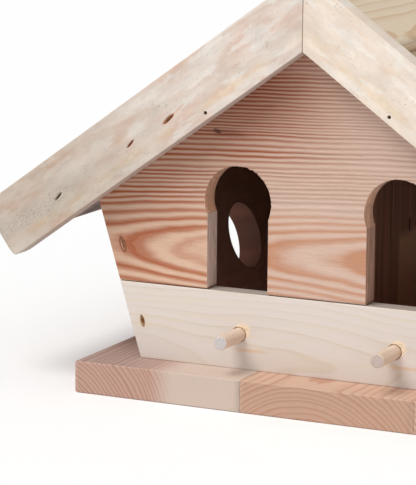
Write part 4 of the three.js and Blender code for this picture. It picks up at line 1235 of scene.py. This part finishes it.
# ---------------------------------------------------------------- screw eyes
def sweep(name, path, radius, n=20, seed=0):
    """A round wire along a smooth path, rounded at both ends."""
    pts = [Vector(p) for p in path]
    tang = []
    for i in range(len(pts)):
        a, b = pts[max(0, i - 1)], pts[min(len(pts) - 1, i + 1)]
        tang.append((b - a).normalized())
    ref = Vector((1, 0, 0))
    verts, rings = [], []

    def ring(c, t, rr):
        side = (ref - t * ref.dot(t)).normalized()
        up = t.cross(side)
        base = len(verts)
        for k in range(n):
            a = 2 * math.pi * k / n
            verts.append(tuple(c + side * (rr * math.cos(a)) + up * (rr * math.sin(a))))
        rings.append(list(range(base, base + n)))
    for th in (75, 50, 25):
        ring(pts[0] - tang[0] * radius[0] * math.sin(math.radians(th)), tang[0], radius[0] * math.cos(math.radians(th)))
    for c, t, rr in zip(pts, tang, radius):
        ring(c, t, rr)
    for th in (25, 50, 75):
        ring(pts[-1] + tang[-1] * radius[-1] * math.sin(math.radians(th)), tang[-1], radius[-1] * math.cos(math.radians(th)))
    faces = []
    for a, b in zip(rings[:-1], rings[1:]):
        faces += [(a[k], a[(k + 1) % n], b[(k + 1) % n], b[k]) for k in range(n)]
    faces.append(tuple(reversed(rings[0])))
    faces.append(tuple(rings[-1]))
    return make(name, verts, faces)


eye_seat = DECK + slope_z(0, cap_top)
for nm, y in (("screw_eye_front", -82), ("screw_eye_rear", 82)):
    ring_r, wire = 6.4, 1.4
    cz = eye_seat + 2.2 + ring_r + wire
    path, rad = [], []
    for k in range(9):                       # shank in the wood
        path.append((0, y, eye_seat - 38 + k * 4.2))
        rad.append(0.5 + 0.1 * k if k < 6 else 1.1)
    path.append((0, y, eye_seat - 2.0)); rad.append(1.45)
    path.append((0, y, eye_seat + 0.4)); rad.append(1.5)
    path.append((0, y, eye_seat + 1.4)); rad.append(1.5)
    for k in range(61):                      # the bent ring, which stops short of the shank
        a = math.radians(-90 + 5.55 * k)
        grow = 1.0 - 0.0 * k
        path.append((0, y + ring_r * math.cos(a) * grow, cz + ring_r * math.sin(a)))
        rad.append(1.5 if k < 1 else 1.4)
    o = sweep("visual_" + nm, path, rad)
    coll = lathe("flange_" + nm, [(0, -0.3), (2.6, -0.3), (3.1, 0.0), (3.2, 0.3), (3.1, 0.6), (2.6, 0.85), (1.7, 1.2), (1.5, 2.0), (0, 2.0)],
                 Matrix.Translation(Vector((0, y, eye_seat))), 40)
    finish_piece(o, nm, m_zinc)
    coll.data.materials.clear()
    coll.data.materials.append(m_zinc)
    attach(coll, "root")

# ---------------------------------------------------------------- fasteners
for name, o in nodes.items():
    if "staple" in name or "_pin" in name or name.startswith("sill_pin") or name.startswith("barge_pin"):
        me = o.data.copy()
        me.name = "visual_" + name
        d = bpy.data.objects.new("visual_" + name, me)
        scene.collection.objects.link(d)
        me.materials.clear()
        if name.startswith("sill_pin"):
            mat = m_pin_brown
        elif "pin" in name:
            mat = m_pin
        elif name in ("barge_staple_front_left_mid",):
            mat = m_steel_rust
        elif name in ("barge_staple_front_left_top", "panel_staple_front_left"):
            mat = m_steel_mid
        else:
            mat = m_steel_dark
        me.materials.append(mat)
        bm = bmesh.new()
        bm.from_mesh(me)
        bmesh.ops.remove_doubles(bm, verts=bm.verts, dist=1e-6)
        bmesh.ops.dissolve_limit(bm, angle_limit=math.radians(2), verts=bm.verts, edges=bm.edges)
        bm.to_mesh(me)
        bm.free()
        bv = d.modifiers.new("bevel", "BEVEL")
        bv.width = 0.00014
        bv.segments = 2
        bv.limit_method = "ANGLE"
        bv.angle_limit = math.radians(30)
        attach(d, "root")
        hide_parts(name)

# -------------------------------------------------------------- floor, light
bpy.ops.mesh.primitive_plane_add(size=60.0, location=(0, 0, -0.0002))
floor = bpy.context.object
floor.name = "floor"
fm = bpy.data.materials.new("floor")
fm.use_nodes = True
fb = fm.node_tree.nodes["Principled BSDF"]
fb.inputs["Base Color"].default_value = (0.97, 0.97, 0.97, 1)
fb.inputs["Roughness"].default_value = 0.9
fb.inputs["Specular IOR Level"].default_value = 0.1
floor.data.materials.append(fm)

world = bpy.data.worlds.new("studio")
scene.world = world
world.use_nodes = True
wt = world.node_tree
wt.nodes.clear()
wo = wt.nodes.new("ShaderNodeOutputWorld")
bg = wt.nodes.new("ShaderNodeBackground")
bg.inputs[0].default_value = (1.0, 1.0, 1.0, 1)
bg.inputs[1].default_value = 0.42
bgc = wt.nodes.new("ShaderNodeBackground")
bgc.inputs[0].default_value = (1, 1, 1, 1)
bgc.inputs[1].default_value = 1.0
lp = wt.nodes.new("ShaderNodeLightPath")
mx = wt.nodes.new("ShaderNodeMixShader")
wt.links.new(lp.outputs["Is Camera Ray"], mx.inputs[0])
wt.links.new(bg.outputs[0], mx.inputs[1])
wt.links.new(bgc.outputs[0], mx.inputs[2])
wt.links.new(mx.outputs[0], wo.inputs[0])


def sun(name, direction, strength, angle, color=(1, 1, 1)):
    li = bpy.data.lights.new(name, "SUN")
    li.energy = strength
    li.angle = math.radians(angle)
    li.color = color
    o = bpy.data.objects.new(name, li)
    scene.collection.objects.link(o)
    o.rotation_euler = Vector(direction).to_track_quat("Z", "Y").to_euler()
    return o


sun("key", (-0.28, -0.62, 1.15), 2.1, 34)
sun("side", (0.7, -1.0, 0.7), 0.28, 60)
